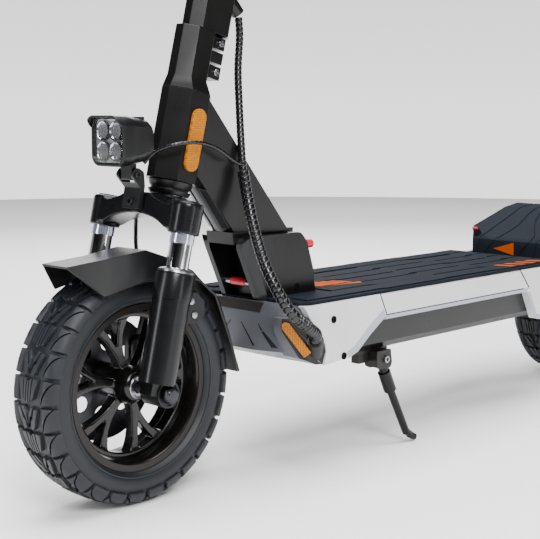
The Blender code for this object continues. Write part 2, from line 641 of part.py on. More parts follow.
def fork_crown():
    """Arched crown with the steerer tube pressed in."""
    front, back = FORK_OFFSET + 0.0170, FORK_OFFSET - 0.0150
    half = FORK_HALF_SPACING
    arch = rounded([(-half, -0.0060), (-half + 0.014, -0.0060), (-0.030, 0.0080, 0.012), (0.030, 0.0080, 0.012),
                    (half - 0.014, -0.0060), (half, -0.0060), (half, 0.0200), (0.040, 0.0235, 0.020),
                    (0.018, 0.0335), (-0.018, 0.0335), (-0.040, 0.0235, 0.020), (-half, 0.0200)])
    bridge = prism(arch, "x", back, front)
    socket_outer = 0.0168
    ends = [rod((FORK_OFFSET, y, -0.0100), (FORK_OFFSET, y, 0.0240), socket_outer, 24) for y in (half, -half)]
    neck = rod((0, 0, 0.0080), (0, 0, 0.0335), 0.0240, 28)
    steerer = rod((0, 0, 0.0100), (0, 0, CLAMP_TOP - 0.002), 0.0143, 24)
    sockets = [rod((FORK_OFFSET, y, -0.0200), (FORK_OFFSET, y, 0.0150), STANCHION_RADIUS + GAP, 20)
               for y in (half, -half)]
    passage = rod((0, 0, -0.01), (0, 0, CLAMP_TOP + 0.01), 0.0115, 20)
    return piece("fork_crown", "fork_graphite", moved(bridge, STEERING),
                 add=[moved(bm, STEERING) for bm in ends + [neck, steerer]],
                 cut=[moved(bm, STEERING) for bm in sockets + [passage]])


def stanchion(side):
    y = side * FORK_HALF_SPACING
    tube = rod((FORK_OFFSET, y, -0.1200), (FORK_OFFSET, y, 0.0147), STANCHION_RADIUS, 20)
    name = "stanchion_left" if side > 0 else "stanchion_right"
    return piece(name, "chrome", moved(tube, STEERING))


LAMP_X, LAMP_Z = -0.0080, 0.3560


def headlight_bracket():
    """Tab bolted to the crown with two arms up to the lamp's tilt bolt."""
    tab = [(-0.0134, 0.3192), (-0.0090, 0.3200), (-0.0130, 0.3420), (-0.0005, 0.3560, 0.004),
           (-0.0080, 0.3650, 0.005), (-0.0180, 0.3590, 0.004), (-0.0190, 0.3435)]
    outline = rounded(side_outline(tab))
    solid = prism(outline, "y", -0.0140, 0.0140)
    between = box((fore(-0.0300), fore(0.0100)), (-0.0105, 0.0105), (0.3480, 0.3700))
    return piece("headlight_bracket", "plastic_black", solid, cut=[between])


def headlight_housing():
    """Lamp case with a visor lip and an ear that tilts between the bracket's arms."""
    half, low, high = 0.0275, 0.3650, 0.4160
    front = fore(0.0205)

    def ring(x, inset, lift):
        points = rounded([(-half + inset, low + lift, 0.008), (half - inset, low + lift, 0.008),
                          (half - inset, high - inset, 0.009), (-half + inset, high - inset, 0.009)], 2)
        return [(x, y, z) for y, z in points]

    case = loft([ring(front, 0, 0), ring(fore(-0.0060), 0, 0.001), ring(fore(-0.0220), 0.006, 0.006),
                 ring(fore(-0.0270), 0.012, 0.012)])
    visor = prism(side_outline([(0.0180, 0.4100), (0.0290, 0.4120), (0.0280, 0.4175), (0.0100, 0.4190),
                                (0.0000, 0.4140)]), "y", -0.0240, 0.0240)
    ear = bar_y(fore(LAMP_X), LAMP_Z, -0.0100, 0.0100, 0.0062)
    neck = box((fore(LAMP_X) - 0.0060, fore(LAMP_X) + 0.0060), (-0.0100, 0.0100), (LAMP_Z, 0.3700))
    recess = box((front - 0.0060, front + 0.02), (-0.0238, 0.0238), (low + 0.0035, high - 0.0040))
    return piece("headlight_housing", "plastic_black", case, add=[visor, ear, neck], cut=[recess])


def headlight_lens():
    front = fore(0.0205)
    points = rounded([(-0.0234, 0.3689, 0.006), (0.0234, 0.3689, 0.006), (0.0234, 0.4116, 0.006),
                      (-0.0234, 0.4116, 0.006)], 2)
    return piece("headlight_lens", "lens", prism(points, "x", front - 0.0055, front - 0.0005))


def handlebar():
    ends, thick, half = BAR_END_RADIUS, BAR_RADIUS, BAR_HALF_LENGTH
    profile = [(-half, ends), (-0.140, ends), (-0.125, thick), (0.125, thick), (0.140, ends), (half, ends),
               (half, 0.0090), (-half, 0.0090)]
    bar = turned(profile, (BAR_A, 0, BAR_S), "Y", 24)
    return piece("handlebar", "frame_black", moved(bar, STEERING))


def grip(side):
    """Rubber grip with a flange at its inner end and a closed outer end."""
    inner = BAR_END_RADIUS + GAP
    profile = [(0.1900, inner), (0.1900, 0.0195), (0.1935, 0.0195), (0.1960, 0.0160), (0.2450, 0.0172),
               (0.2950, 0.0160), (0.3010, 0.0165), (0.3030, 0.0145), (0.3030, 0), (0.3004, 0), (0.3004, inner)]
    ring = turned(profile, (BAR_A, 0, BAR_S), "Y", 20)
    name = "grip_left" if side > 0 else "grip_right"
    return piece(name, "rubber", moved(ring if side > 0 else mirrored(ring), STEERING))


DISPLAY_FRAME = Matrix.Translation((-0.030, 0, BAR_S + 0.030)) @ Matrix.Rotation(math.radians(-24), 4, "Y")
BUTTON_PLACE = (-0.0180, 0.0200)


def display():
    """Screen pod on two rings round the bar, with a pocket for the button."""
    pod = softened(box((-0.030, 0.028), (-0.036, 0.036), (-0.007, 0.007)), 0.004, 2)
    arms = [softened(box((0.004, 0.022), (y + 0.0011, y + 0.0080), (-0.026, 0.0013)), 0.0008)
            for y in (-0.041, 0.032)]
    rings = [bar_y(BAR_A, BAR_S, y, y + 0.009, 0.0170, 20) for y in (-0.041, 0.032)]
    bar = bar_y(BAR_A, BAR_S, -0.05, 0.05, BAR_RADIUS + GAP, 24)
    x, y = BUTTON_PLACE
    pocket = rod((x, y, 0.0030), (x, y, 0.0200), 0.0053, 16)
    tilt = STEERING @ DISPLAY_FRAME
    return piece("display", "screen", moved(pod, tilt),
                 add=[moved(arm, tilt) for arm in arms] + [moved(ring, STEERING) for ring in rings],
                 cut=[moved(bar, STEERING), moved(pocket, tilt)])


def mode_button():
    x, y = BUTTON_PLACE
    cap = rod((x, y, 0.0050), (x, y, 0.0085), 0.0049, 16)
    return piece("mode_button", "red", moved(cap, STEERING @ DISPLAY_FRAME))


LEVER_PIVOT = (0.0220, 0.1600)


def lever_mount(side):
    """Ring round the bar with a forked boss that holds the brake lever."""
    ring = bar_y(BAR_A, BAR_S, 0.1520, 0.1680, 0.0165, 20)
    boss = softened(box((BAR_A + 0.010, 0.0310), (0.1500, 0.1700), (BAR_S - 0.0095, BAR_S + 0.0095)), 0.0015)
    slot = box((0.0080, 0.0400), (0.1400, 0.1800), (BAR_S - 0.0042, BAR_S + 0.0042))
    bar = bar_y(BAR_A, BAR_S, 0.10, 0.20, BAR_END_RADIUS + GAP, 24)
    parts = [ring, boss, slot, bar]
    if side < 0:
        parts = [mirrored(bm) for bm in parts]
    ring, boss, slot, bar = [moved(bm, STEERING) for bm in parts]
    name = "lever_mount_left" if side > 0 else "lever_mount_right"
    return piece(name, "plastic_black", ring, add=[boss], cut=[slot, bar])


def brake_lever(side):
    """Curved lever blade that turns in its mount towards the grip."""
    a, y = LEVER_PIVOT
    outline = rounded([(a - 0.006, y - 0.006, 0.005), (a + 0.007, y - 0.006, 0.005), (a + 0.0230, y + 0.030, 0.02),
                       (a + 0.0330, y + 0.080, 0.03), (a + 0.0330, y + 0.124, 0.004),
                       (a + 0.0230, y + 0.124, 0.004), (a + 0.0230, y + 0.080, 0.03),
                       (a + 0.0110, y + 0.034, 0.02), (a - 0.006, y + 0.010, 0.004)])
    blade = prism(outline, "z", BAR_S - 0.0038, BAR_S + 0.0038)
    name = "brake_lever_left" if side > 0 else "brake_lever_right"
    return piece(name, "fork_graphite", moved(blade if side > 0 else mirrored(blade), STEERING))


def throttle():
    """Thumb throttle: a ring that turns on the bar, with a paddle below it."""
    ring = bar_y(BAR_A, BAR_S, -0.1860, -0.1720, 0.0170, 20)
    paddle = box((BAR_A - 0.0340, BAR_A - 0.0120), (-0.1860, -0.1720), (BAR_S - 0.0090, BAR_S - 0.0030))
    bar = bar_y(BAR_A, BAR_S, -0.20, -0.15, BAR_END_RADIUS + GAP, 24)
    return piece("throttle", "plastic_black", moved(ring, STEERING), add=[moved(softened(paddle, 0.0015), STEERING)],
                 cut=[moved(bar, STEERING)])


# --- fork lowers and front wheel -----------------------------------------------

def fork_lower(side):
    """Lower leg with the axle's boss, and a plate behind that carries the fender."""
    y = side * FORK_HALF_SPACING
    leg = rod((FORK_OFFSET, y, LOWER_BOTTOM), (FORK_OFFSET, y, LOWER_TOP), LOWER_RADIUS, 28, LOWER_RADIUS + 0.0006)
    inner, outer = 0.0420, 0.0700
    boss = bar_y(AXLE_A, AXLE_S, side * inner, side * (outer + 0.0015), 0.0150, 20)
    web = box((AXLE_A - 0.0043, FORK_OFFSET + 0.008), sorted((side * 0.0520, side * outer)),
              (AXLE_S - 0.0037, LOWER_BOTTOM + 0.01))
    plate = side_outline([(-0.0150, 0.2300), (-0.0520, 0.2300), (-0.0620, 0.2190), (-0.0620, 0.2050),
                          (-0.0520, 0.1975), (-0.0100, 0.1975)])
    bracket = prism(plate, "y", *sorted((side * 0.0540, side * 0.0600)))
    bore = rod((FORK_OFFSET, y, -0.1580), (FORK_OFFSET, y, -0.02), STANCHION_RADIUS + GAP, 20)
    axle = bar_y(AXLE_A, AXLE_S, side * 0.02, side * 0.12, 0.0063, 20)
    nut_room = bar_y(AXLE_A, AXLE_S, side * outer, side * 0.12, 0.0125, 20)
    name = "fork_lower_left" if side > 0 else "fork_lower_right"
    return piece(name, "fork_graphite", moved(leg, STEERING),
                 add=[moved(boss, STEERING), moved(web, STEERING), bracket],
                 cut=[moved(bore, STEERING), moved(nut_room, STEERING), moved(axle, STEERING)])


# Fender lines on the left side: upper edge and lower edge, as (x, y, z) from the front axle
FENDER_UPPER = [(0.0913, 0.0210, 0.2668), (0.0400, 0.0205, 0.2705), (-0.0102, 0.0245, 0.2765),
                (-0.0500, 0.0225, 0.2632), (-0.0800, 0.0220, 0.2475), (-0.1195, 0.0230, 0.2095),
                (-0.1370, 0.0230, 0.1650), (-0.1510, 0.0230, 0.1225)]
FENDER_LOWER = [(0.0900, 0.0225, 0.2655), (0.0606, 0.0440, 0.2357), (0.0106, 0.0450, 0.2460),
                (-0.0450, 0.0448, 0.2482), (-0.0720, 0.0440, 0.2400), (-0.0950, 0.0440, 0.2210),
                (-0.1180, 0.0440, 0.1650), (-0.1310, 0.0440, 0.1290)]
FENDER_WALL = 0.0022


def front_fender():
    """Folded-look mudguard shell: flat top panel with a sloping panel on each side."""
    bm = bmesh.new()
    rows = []
    for upper, lower in zip(FENDER_UPPER, FENDER_LOWER):
        left = [(lower[0], lower[1], lower[2]), (upper[0], upper[1], upper[2])]
        row = left + [(x, -y, z) for x, y, z in reversed(left)]
        rows.append([bm.verts.new((fore(x), y, z)) for x, y, z in row])
    for first, second in zip(rows, rows[1:]):
        for i in range(3):
            bm.faces.new((first[i], first[i + 1], second[i + 1], second[i]))
    bmesh.ops.recalc_face_normals(bm, faces=bm.faces)
    if bm.faces[1].normal.z < 0:
        bmesh.ops.reverse_faces(bm, faces=bm.faces)
    bmesh.ops.solidify(bm, geom=list(bm.faces), thickness=FENDER_WALL)
    bmesh.ops.recalc_face_normals(bm, faces=bm.faces)
    return piece("front_fender", "plastic_black", bm)


def front_axle():
    shaft = bar_y(AXLE_A, AXLE_S, -0.0800, 0.0800, 0.0060, 20)
    nuts = [bar_y(AXLE_A, AXLE_S, side * 0.0703, side * 0.0780, 0.0100, 6) for side in (1, -1)]
    return piece("front_axle", "steel", moved(shaft, STEERING), add=[moved(nut, STEERING) for nut in nuts])


def front_caliper():
    """Brake caliper over the rear edge of the disc, on the right."""
    body = softened(box((fore(-0.0740), fore(-0.0380)), (-0.0525, -0.0300), (0.1280, 0.1700)), 0.003)
    gap = box((fore(-0.0712), fore(-0.02)), (-0.0415, -0.0372), (0.10, 0.19))
    return piece("front_caliper", "plastic_black", body, cut=[gap])


def tyre(name, centre):
    """Tyre as a hollow carcass. The tread blocks are the outermost surface."""
    wide, crown = TYRE_HALF_WIDTH, TREAD_HALF_WIDTH
    outer = [(0.0222, RIM_BARREL + 0.0004), (0.0222, RIM_RADIUS + 0.0007), (wide - 0.0010, 0.1060),
             (wide, 0.1160), (0.0305, 0.1250), (crown, TYRE_RADIUS)]
    inner = [(0.0240, 0.1185), (0.0280, 0.1080), (0.0165, 0.0940), (0.0165, RIM_BARREL + 0.0004)]
    profile = outer + [(-h, r) for h, r in reversed(outer)] + [(-h, r) for h, r in reversed(inner)] + inner
    return piece(name, "tyre", turned(profile, centre, "Y", 40))


def rim_barrel(centre):
    lip, barrel = RIM_RADIUS, RIM_BARREL
    edge, seat = RIM_HALF_WIDTH, 0.0228
    profile = [(-edge, lip), (-seat, lip), (-seat, barrel), (seat, barrel), (seat, lip), (edge, lip),
               (edge, 0.0790), (0.0180, 0.0770), (-0.0180, 0.0770), (-edge, 0.0790)]
    return turned(profile, centre, "Y", 40)


def front_rim():
    """Cast wheel: six spokes that each split in two, and the hub with its bearing bore."""
    spokes = []
    for k in range(6):
        turn = Matrix.Translation(FRONT_AXLE) @ Matrix.Rotation(math.radians(60 * k + 12), 4, "Y")
        trunk = box((0.0120, 0.0470), (-0.0100, 0.0080), (-0.0060, 0.0060))
        spokes.append(moved(trunk, turn))
        for split in (1, -1):
            fork = Matrix.Translation((0.0400, 0, 0)) @ Matrix.Rotation(math.radians(17 * split), 4, "Y")
            arm = box((-0.0010, 0.0405), (-0.0090, 0.0070), (-0.0042, 0.0042))
            spokes.append(moved(arm, turn @ fork))
    hub = bar_y(FRONT_X, TYRE_RADIUS, -0.0380, 0.0300, 0.0180, 24)
    bore = bar_y(FRONT_X, TYRE_RADIUS, -0.06, 0.06, 0.0063, 20)
    return piece("front_rim", "rim_black", rim_barrel(FRONT_AXLE), add=spokes + [hub], cut=[bore])


def front_disc():
    profile = [(-0.0402, 0.0130), (-0.0402, 0.0700), (-0.0383, 0.0700), (-0.0383, 0.0130)]
    holes = []
    for k in range(8):
        angle = math.radians(45 * k + 7)
        x, z = FRONT_X + 0.040 * math.cos(angle), TYRE_RADIUS + 0.040 * math.sin(angle)
        holes.append(bar_y(x, z, -0.05, -0.03, 0.0090, 12))
    return piece("front_disc", "steel", turned(profile, FRONT_AXLE, "Y", 40), cut=holes)


# --- rear wheel and swingarm ---------------------------------------------------

def rear_rim():
    """Hub motor cast in one with the rear rim."""
    lip, barrel, edge, seat = RIM_RADIUS, RIM_BARREL, RIM_HALF_WIDTH, 0.0228
    left = [(0.0440, REAR_AXLE_RADIUS + GAP), (0.0440, 0.0200), (0.0400, 0.0440), (0.0300, 0.0600), (0.0090, 0.0620),
            (0.0080, 0.0770), (0.0180, 0.0780), (edge, 0.0800), (edge, lip), (seat, lip), (seat, barrel)]
    profile = left + [(-h, r) for h, r in reversed(left)]
    return piece("rear_rim", "rim_black", turned(profile, REAR_AXLE, "Y", 40))


def swingarm():
    """Two arms from the pivot tube to the motor axle, joined by a cross member ahead of the tyre."""
    arm = rounded(side_outline([(SWING_X + 0.014, SWING_Z - 0.012, 0.008), (SWING_X + 0.012, SWING_Z + 0.013, 0.008),
                                (-0.900, 0.1500), (-WHEELBASE - 0.020, 0.1480, 0.008),
                                (-WHEELBASE - 0.024, 0.1120, 0.008), (-WHEELBASE + 0.030, 0.1100)]))
    left = prism(arm, "y", 0.0500, 0.0600)
    right = prism(arm, "y", -0.0600, -0.0500)
    tube = bar_y(fore(SWING_X), SWING_Z, -0.0600, 0.0600, 0.0140, 24)
    shaft = bar_y(fore(SWING_X), SWING_Z, -0.0790, 0.0790, 0.0060, 20)
    cross = box((fore(-0.8065), fore(-0.7700)), (-0.0550, 0.0550), (0.1350, 0.1500))
    axle = bar_y(REAR_X, TYRE_RADIUS, -0.0760, 0.0760, REAR_AXLE_RADIUS, 20)
    nuts = [bar_y(REAR_X, TYRE_RADIUS, side * 0.0590, side * 0.0690, 0.0120, 6) for side in (1, -1)]
    return piece("swingarm", "frame_black", left, add=[tube, right, cross, shaft, axle] + nuts)


def rear_shock():
    """Short upright spring unit between the cross member and the deck's shelf."""
    low, high = 0.1503, FRAME_TOP - 0.0053
    profile = [(low, 0.0050), (low, 0.0115), (low + 0.007, 0.0115), (low + 0.008, 0.0098), (high - 0.008, 0.0098),
               (high - 0.007, 0.0115), (high, 0.0115), (high, 0.0050)]
    return piece("rear_shock", "red", turned(profile, (fore(SHOCK_X), 0, 0), "Z", 20))


def rear_fender():
    """Mudguard shell round the rear tyre, with a stay down to each arm."""
    outer, wall = REAR_FENDER_RADIUS, 0.003
    first, last, steps = 80, 178, 12
    rings = []
    for k in range(steps + 1):
        angle = math.radians(first + (last - first) * k / steps)
        u = Vector((math.cos(angle), 0, math.sin(angle)))
        section = [(0.0470, outer - 0.018), (0.0470, outer - 0.006), (0.0400, outer), (-0.0400, outer),
                   (-0.0470, outer - 0.006), (-0.0470, outer - 0.018), (-0.0440, outer - 0.018),
                   (-0.0440, outer - 0.007), (-0.0385, outer - wall), (0.0385, outer - wall),
                   (0.0440, outer - 0.007), (0.0440, outer - 0.018)]
        rings.append([tuple(REAR_AXLE + u * r + Vector((0, y, 0))) for y, r in section])
    shell = loft(rings)
    stay = side_outline([(-WHEELBASE - 0.040, 0.2480), (-WHEELBASE - 0.008, 0.2600), (-WHEELBASE + 0.006, 0.1380),
                         (-WHEELBASE - 0.014, 0.1380)])
    left = prism(stay, "y", 0.0452, 0.0485)
    right = prism(stay, "y", -0.0485, -0.0452)
    return piece("rear_fender", "plastic_black", shell, add=[left, right])


def tail_light():
    """Red lamp on the back of the rear mudguard."""
    lamp = softened(box((REAR_FENDER_RADIUS + 0.0004, REAR_FENDER_RADIUS + 0.0110), (-0.0280, 0.0280),
                        (-0.0120, 0.0120)), 0.003)
    place = Matrix.Translation(REAR_AXLE) @ Matrix.Rotation(math.radians(-140), 4, "Y")
    return piece("tail_light", "red", moved(lamp, place))


# --- cables --------------------------------------------------------------------

STEM_OUTLET = (-0.0500, 0.0060, 0.2560)
CABLE_ENTRY = (fore(-0.1935), 0.1030, 0.1640)
CLIP = (-0.1440, 0.0360, 0.3580)

# Bundle from the stem's outlet down to the clip on the beam
UPPER_ROUTE = [(-0.1660, 0.0068, 0.5300), (-0.1665, 0.0080, 0.5080), (-0.1610, 0.0110, 0.4700),
               (-0.1560, 0.0180, 0.4300), (-0.1480, 0.0290, 0.3900), CLIP]
# Bundle from the clip down into the nose
LOWER_ROUTE = [(-0.1440, 0.0363, 0.3562), (-0.1440, 0.0440, 0.3250), (-0.1400, 0.0580, 0.2920), (-0.1330, 0.0800, 0.2580),
               (-0.1360, 0.0980, 0.2270), (-0.1480, 0.1085, 0.2020), (-0.1680, 0.1140, 0.1850),
               (-0.1875, 0.1100, 0.1733), (-0.1926, 0.1040, 0.1654)]
LAMP_ROUTE = [(-0.0240, 0.0060, 0.3680), (-0.0330, 0.0150, 0.3800), (-0.0450, 0.0330, 0.3880),
              (-0.0700, 0.0410, 0.3900), (-0.1000, 0.0400, 0.3830), (-0.1260, 0.0420, 0.3680),
              (-0.1375, 0.0432, 0.3645)]
HOSE_ROUTE = [(-0.0480, -0.0370, 0.3080), (-0.0560, -0.0480, 0.2900), (-0.0600, -0.0520, 0.2650),
              (-0.0660, -0.0500, 0.2300), (-0.0690, -0.0480, 0.2000), (-0.0640, -0.0470, 0.1820),
              (-0.0600, -0.0465, 0.1716)]


def route_in_frame(points):
    return [(fore(x), y, z) for x, y, z in points]


def cables():
    return [cable("cable_upper", route_in_frame(UPPER_ROUTE), 0.0090),
            cable("cable_lower", route_in_frame(LOWER_ROUTE), 0.0140),
            cable("headlight_cable", route_in_frame(LAMP_ROUTE), 0.0040),
            cable("brake_hose", route_in_frame(HOSE_ROUTE), 0.0050)]


# --- assembly ------------------------------------------------------------------

def pivot(name, place, pieces, parent=None):
    """Empty on a joint's axis that carries the pieces of one moving body."""
    empty = bpy.data.objects.new(name, None)
    bpy.context.scene.collection.objects.link(empty)
    empty.matrix_world = Matrix.Translation(place)
    bpy.context.view_layer.update()
    if parent:
        empty.parent = parent
        empty.matrix_parent_inverse = parent.matrix_world.inverted()
    for obj in pieces:
        obj.parent = empty
        obj.matrix_parent_inverse = empty.matrix_world.inverted()
    return empty


def build():
    clear_scene()
    sides = (1, -1)
    deck = [deck_frame(), battery_pack(), controller(), deck_mat(), nose_cover(), fold_block(), fold_pin(),
            kick_plate(), kickstand_bracket()]
    deck += side_covers() + [side_reflector(side) for side in sides]
    base = pivot("deck_base", (0, 0, 0), deck)
    pivot("kickstand_hinge", (fore(KICKSTAND_X), KICKSTAND_Y, KICKSTAND_Z), [kickstand()], base)
    pivot("release_slide", (fore(-0.2540), 0.0320, 0.2650), [release_knob()], base)
    neck = [neck_frame(), lower_headset()] + [head_reflector(side) for side in sides]
    fold = pivot("fold_hinge", (fore(FOLD_X), 0, FOLD_Z), neck, base)
    steered = [stem_clamp(), stem_tube(), fork_crown(), headlight_bracket(), handlebar(), display()]
    steered += [make(side) for make in (stanchion, grip, lever_mount) for side in sides]
    upper, lower, lamp_lead, hose = cables()
    steer = pivot("steering_axis", (fore(AXIS_X), 0, AXIS_Z), steered + [hose], fold)
    for cord in (upper, lower, lamp_lead):
        cord.parent = fold
        cord.matrix_parent_inverse = fold.matrix_world.inverted()
    pivot("headlight_tilt", (fore(LAMP_X), 0, LAMP_Z), [headlight_housing(), headlight_lens()], steer)
    lever_a, lever_y = LEVER_PIVOT
    for side, word in ((1, "left"), (-1, "right")):
        place = STEERING @ Vector((lever_a, side * lever_y, BAR_S))
        pivot("brake_lever_pivot_" + word, place, [brake_lever(side)], steer)
    pivot("throttle_axis", STEERING @ Vector((BAR_A, 0, BAR_S)), [throttle()], steer)
    button = DISPLAY_FRAME @ Vector((*BUTTON_PLACE, 0.005))
    pivot("button_slide", STEERING @ button, [mode_button()], steer)
    lowers = [fork_lower(side) for side in sides] + [front_fender(), front_axle(), front_caliper()]
    fork = pivot("fork_slide", STEERING @ Vector((FORK_OFFSET, 0, LOWER_TOP)), lowers, steer)
    pivot("front_wheel_axle", FRONT_AXLE, [tyre("front_tyre", FRONT_AXLE), front_rim(), front_disc()], fork)
    arm = pivot("swingarm_pivot", (fore(SWING_X), 0, SWING_Z), [swingarm(), rear_fender(), tail_light(), rear_shock()],
                base)
    pivot("rear_wheel_axle", REAR_AXLE, [tyre("rear_tyre", REAR_AXLE), rear_rim()], arm)


build()
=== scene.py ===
import json
from math import ceil, copysign, cos, hypot, pi, radians, sin

import bmesh
import bpy
from mathutils import Matrix, Vector


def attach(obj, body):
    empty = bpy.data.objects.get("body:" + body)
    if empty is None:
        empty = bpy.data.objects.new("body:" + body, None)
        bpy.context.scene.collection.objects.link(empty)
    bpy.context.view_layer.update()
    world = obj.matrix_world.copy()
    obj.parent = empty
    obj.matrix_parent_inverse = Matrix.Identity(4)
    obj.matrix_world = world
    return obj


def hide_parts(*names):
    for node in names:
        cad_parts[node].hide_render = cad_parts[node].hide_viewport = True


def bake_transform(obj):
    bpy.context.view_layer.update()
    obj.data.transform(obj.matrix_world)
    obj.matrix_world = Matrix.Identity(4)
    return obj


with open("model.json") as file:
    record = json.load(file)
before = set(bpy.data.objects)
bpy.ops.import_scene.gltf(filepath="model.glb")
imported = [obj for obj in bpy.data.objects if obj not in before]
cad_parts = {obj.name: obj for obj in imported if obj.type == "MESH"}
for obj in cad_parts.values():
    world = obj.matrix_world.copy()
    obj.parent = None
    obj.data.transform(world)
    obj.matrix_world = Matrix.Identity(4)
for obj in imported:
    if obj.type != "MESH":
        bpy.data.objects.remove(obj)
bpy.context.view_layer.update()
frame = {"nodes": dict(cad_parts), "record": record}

# Dimensions repeated from the part: lengths along the scooter start at the front axle
TYRE_R = 0.1285
WHEELBASE = 0.941
REAR_FENDER_R = 0.1415
FRONT_X = (TYRE_R + WHEELBASE + REAR_FENDER_R) / 2 - TYRE_R
REAR_X = FRONT_X - WHEELBASE
RAKE = radians(14.0)
AXIS_X, AXIS_Z = -0.0555, 0.298
FORK_A, FORK_Y = 0.0282, 0.0665
BAR_A, BAR_S = -0.01, 0.87
MAT_TOP = 0.2095


def fore(x):
    return FRONT_X + x


def ahead(points):
    """Flat points whose first number is a length from the front axle."""
    return [(fore(x), other) for x, other in points]


STEERING = Matrix.Translation((fore(AXIS_X), 0, AXIS_Z)) @ Matrix.Rotation(-RAKE, 4, "Y")
FRONT_AXLE = Vector((FRONT_X, 0, TYRE_R))
REAR_AXLE = Vector((REAR_X, 0, TYRE_R))
NODES = frame["nodes"]


# --- camera, light and floor ---

def placed(name, data):
    """New object of that data, in the scene."""
    obj = bpy.data.objects.new(name, data)
    bpy.context.scene.collection.objects.link(obj)
    return obj


def aimed(place, look):
    """Matrix of a camera or lamp that stands at a place and looks that way."""
    return Matrix.Translation(place) @ look.to_track_quat("-Z", "Y").to_matrix().to_4x4()


def camera():
    cam = placed("camera", bpy.data.cameras.new("camera"))
    bpy.context.scene.camera = cam
    yaw, pitch, roll = radians(-135.82), radians(-7.49), radians(0.11)
    look = Vector((cos(pitch) * cos(yaw), cos(pitch) * sin(yaw), sin(pitch)))
    cam.matrix_world = aimed((1.269, 0.9888, 0.4198), look) @ Matrix.Rotation(roll, 4, "Z")
    cam.data.lens = 78.44
    cam.data.sensor_width = 36
    cam.data.clip_start = 0.01
    cam.data.dof.use_dof = False


def area(name, place, target, size, power):
    data = bpy.data.lights.new(name, "AREA")
    data.shape = "RECTANGLE"
    data.size, data.size_y = size
    data.energy = power
    placed(name, data).matrix_world = aimed(place, Vector(target) - Vector(place))


def feed(tree, node, **inputs):
    """Sets a node's sockets to values, or links them to outputs. An underscore stands for a space."""
    for name, value in inputs.items():
        socket = node.inputs[name.replace("_", " ")]
        if isinstance(value, bpy.types.NodeSocket):
            tree.links.new(value, socket)
        else:
            socket.default_value = value


def add(tree, kind, **inputs):
    node = tree.nodes.new("ShaderNode" + kind)
    feed(tree, node, **inputs)
    return node


def ramp(tree, factor, first, last, *between):
    """Colour of a ramp through its (position, colour) stops."""
    node = add(tree, "ValToRGB", Fac=factor)
    stops = node.color_ramp.elements
    for stop, (position, colour) in zip(stops[:], (first, last)):
        stop.position, stop.color = position, (*colour, 1)
    for position, colour in between:
        stops.new(position).color = (*colour, 1)
    return node.outputs["Color"]


def sky():
    """Bright band at eye level, strongest behind the scooter, so that dark paint keeps its depth."""
    world = bpy.data.worlds.new("studio")
    world.use_nodes = True
    tree = world.node_tree
    place = add(tree, "TexCoord").outputs["Generated"]
    up = add(tree, "SeparateXYZ", Vector=place).outputs["Z"]
    band = ramp(tree, up, (0.0, (1.0, 1.0, 1.0)), (0.42, (0.03, 0.03, 0.035)),
                (0.12, (0.75, 0.75, 0.75)), (0.24, (0.07, 0.07, 0.075)))
    behind = add(tree, "VectorMath")
    behind.operation = "DOT_PRODUCT"
    behind.inputs[1].default_value = (-0.717, -0.697, 0.0)
    tree.links.new(place, behind.inputs[0])
    side = add(tree, "MapRange")
    side.interpolation_type = "SMOOTHSTEP"
    feed(tree, side, Value=behind.outputs["Value"], From_Min=0.3, From_Max=0.85, To_Min=0.26, To_Max=1.9)
    feed(tree, tree.nodes["Background"], Color=band, Strength=side.outputs["Result"])
    bpy.context.scene.world = world


def studio():
    sky()
    area("key", (1.5, 1.9, 1.9), (0.25, 0, 0.3), (0.9, 0.9), 78)
    area("top", (0.1, 0.4, 5.0), (0.1, 0, 0.0), (4.6, 4.6), 640)
    area("front_strip", (2.4, -0.5, 0.9), (0.4, 0, 0.3), (0.35, 1.6), 22)
    area("side_strip", (0.1, 2.4, 0.7), (0.2, 0, 0.25), (0.3, 1.2), 9)
    area("rim_back", (-1.2, -1.8, 1.6), (0.1, 0, 0.4), (1.2, 1.2), 40)
    mesh = bpy.data.meshes.new("floor")
    floor_radius, sides, sunk = 4.5, 72, 0.0004
    ring = [(floor_radius * c, floor_radius * s, 0) for c, s in circle(sides)]
    mesh.from_pydata(ring, [], [tuple(range(sides))])
    floor = placed("floor", mesh)
    floor.location.z = -sunk
    mat = bpy.data.materials.new("floor")
    mat.use_nodes = True
    tree = mat.node_tree
    feed(tree, tree.nodes["Principled BSDF"], Base_Color=(0.95, 0.95, 0.95, 1), Roughness=0.8,
         Specular_IOR_Level=0.1)
    mesh.materials.append(mat)


# --- materials ---

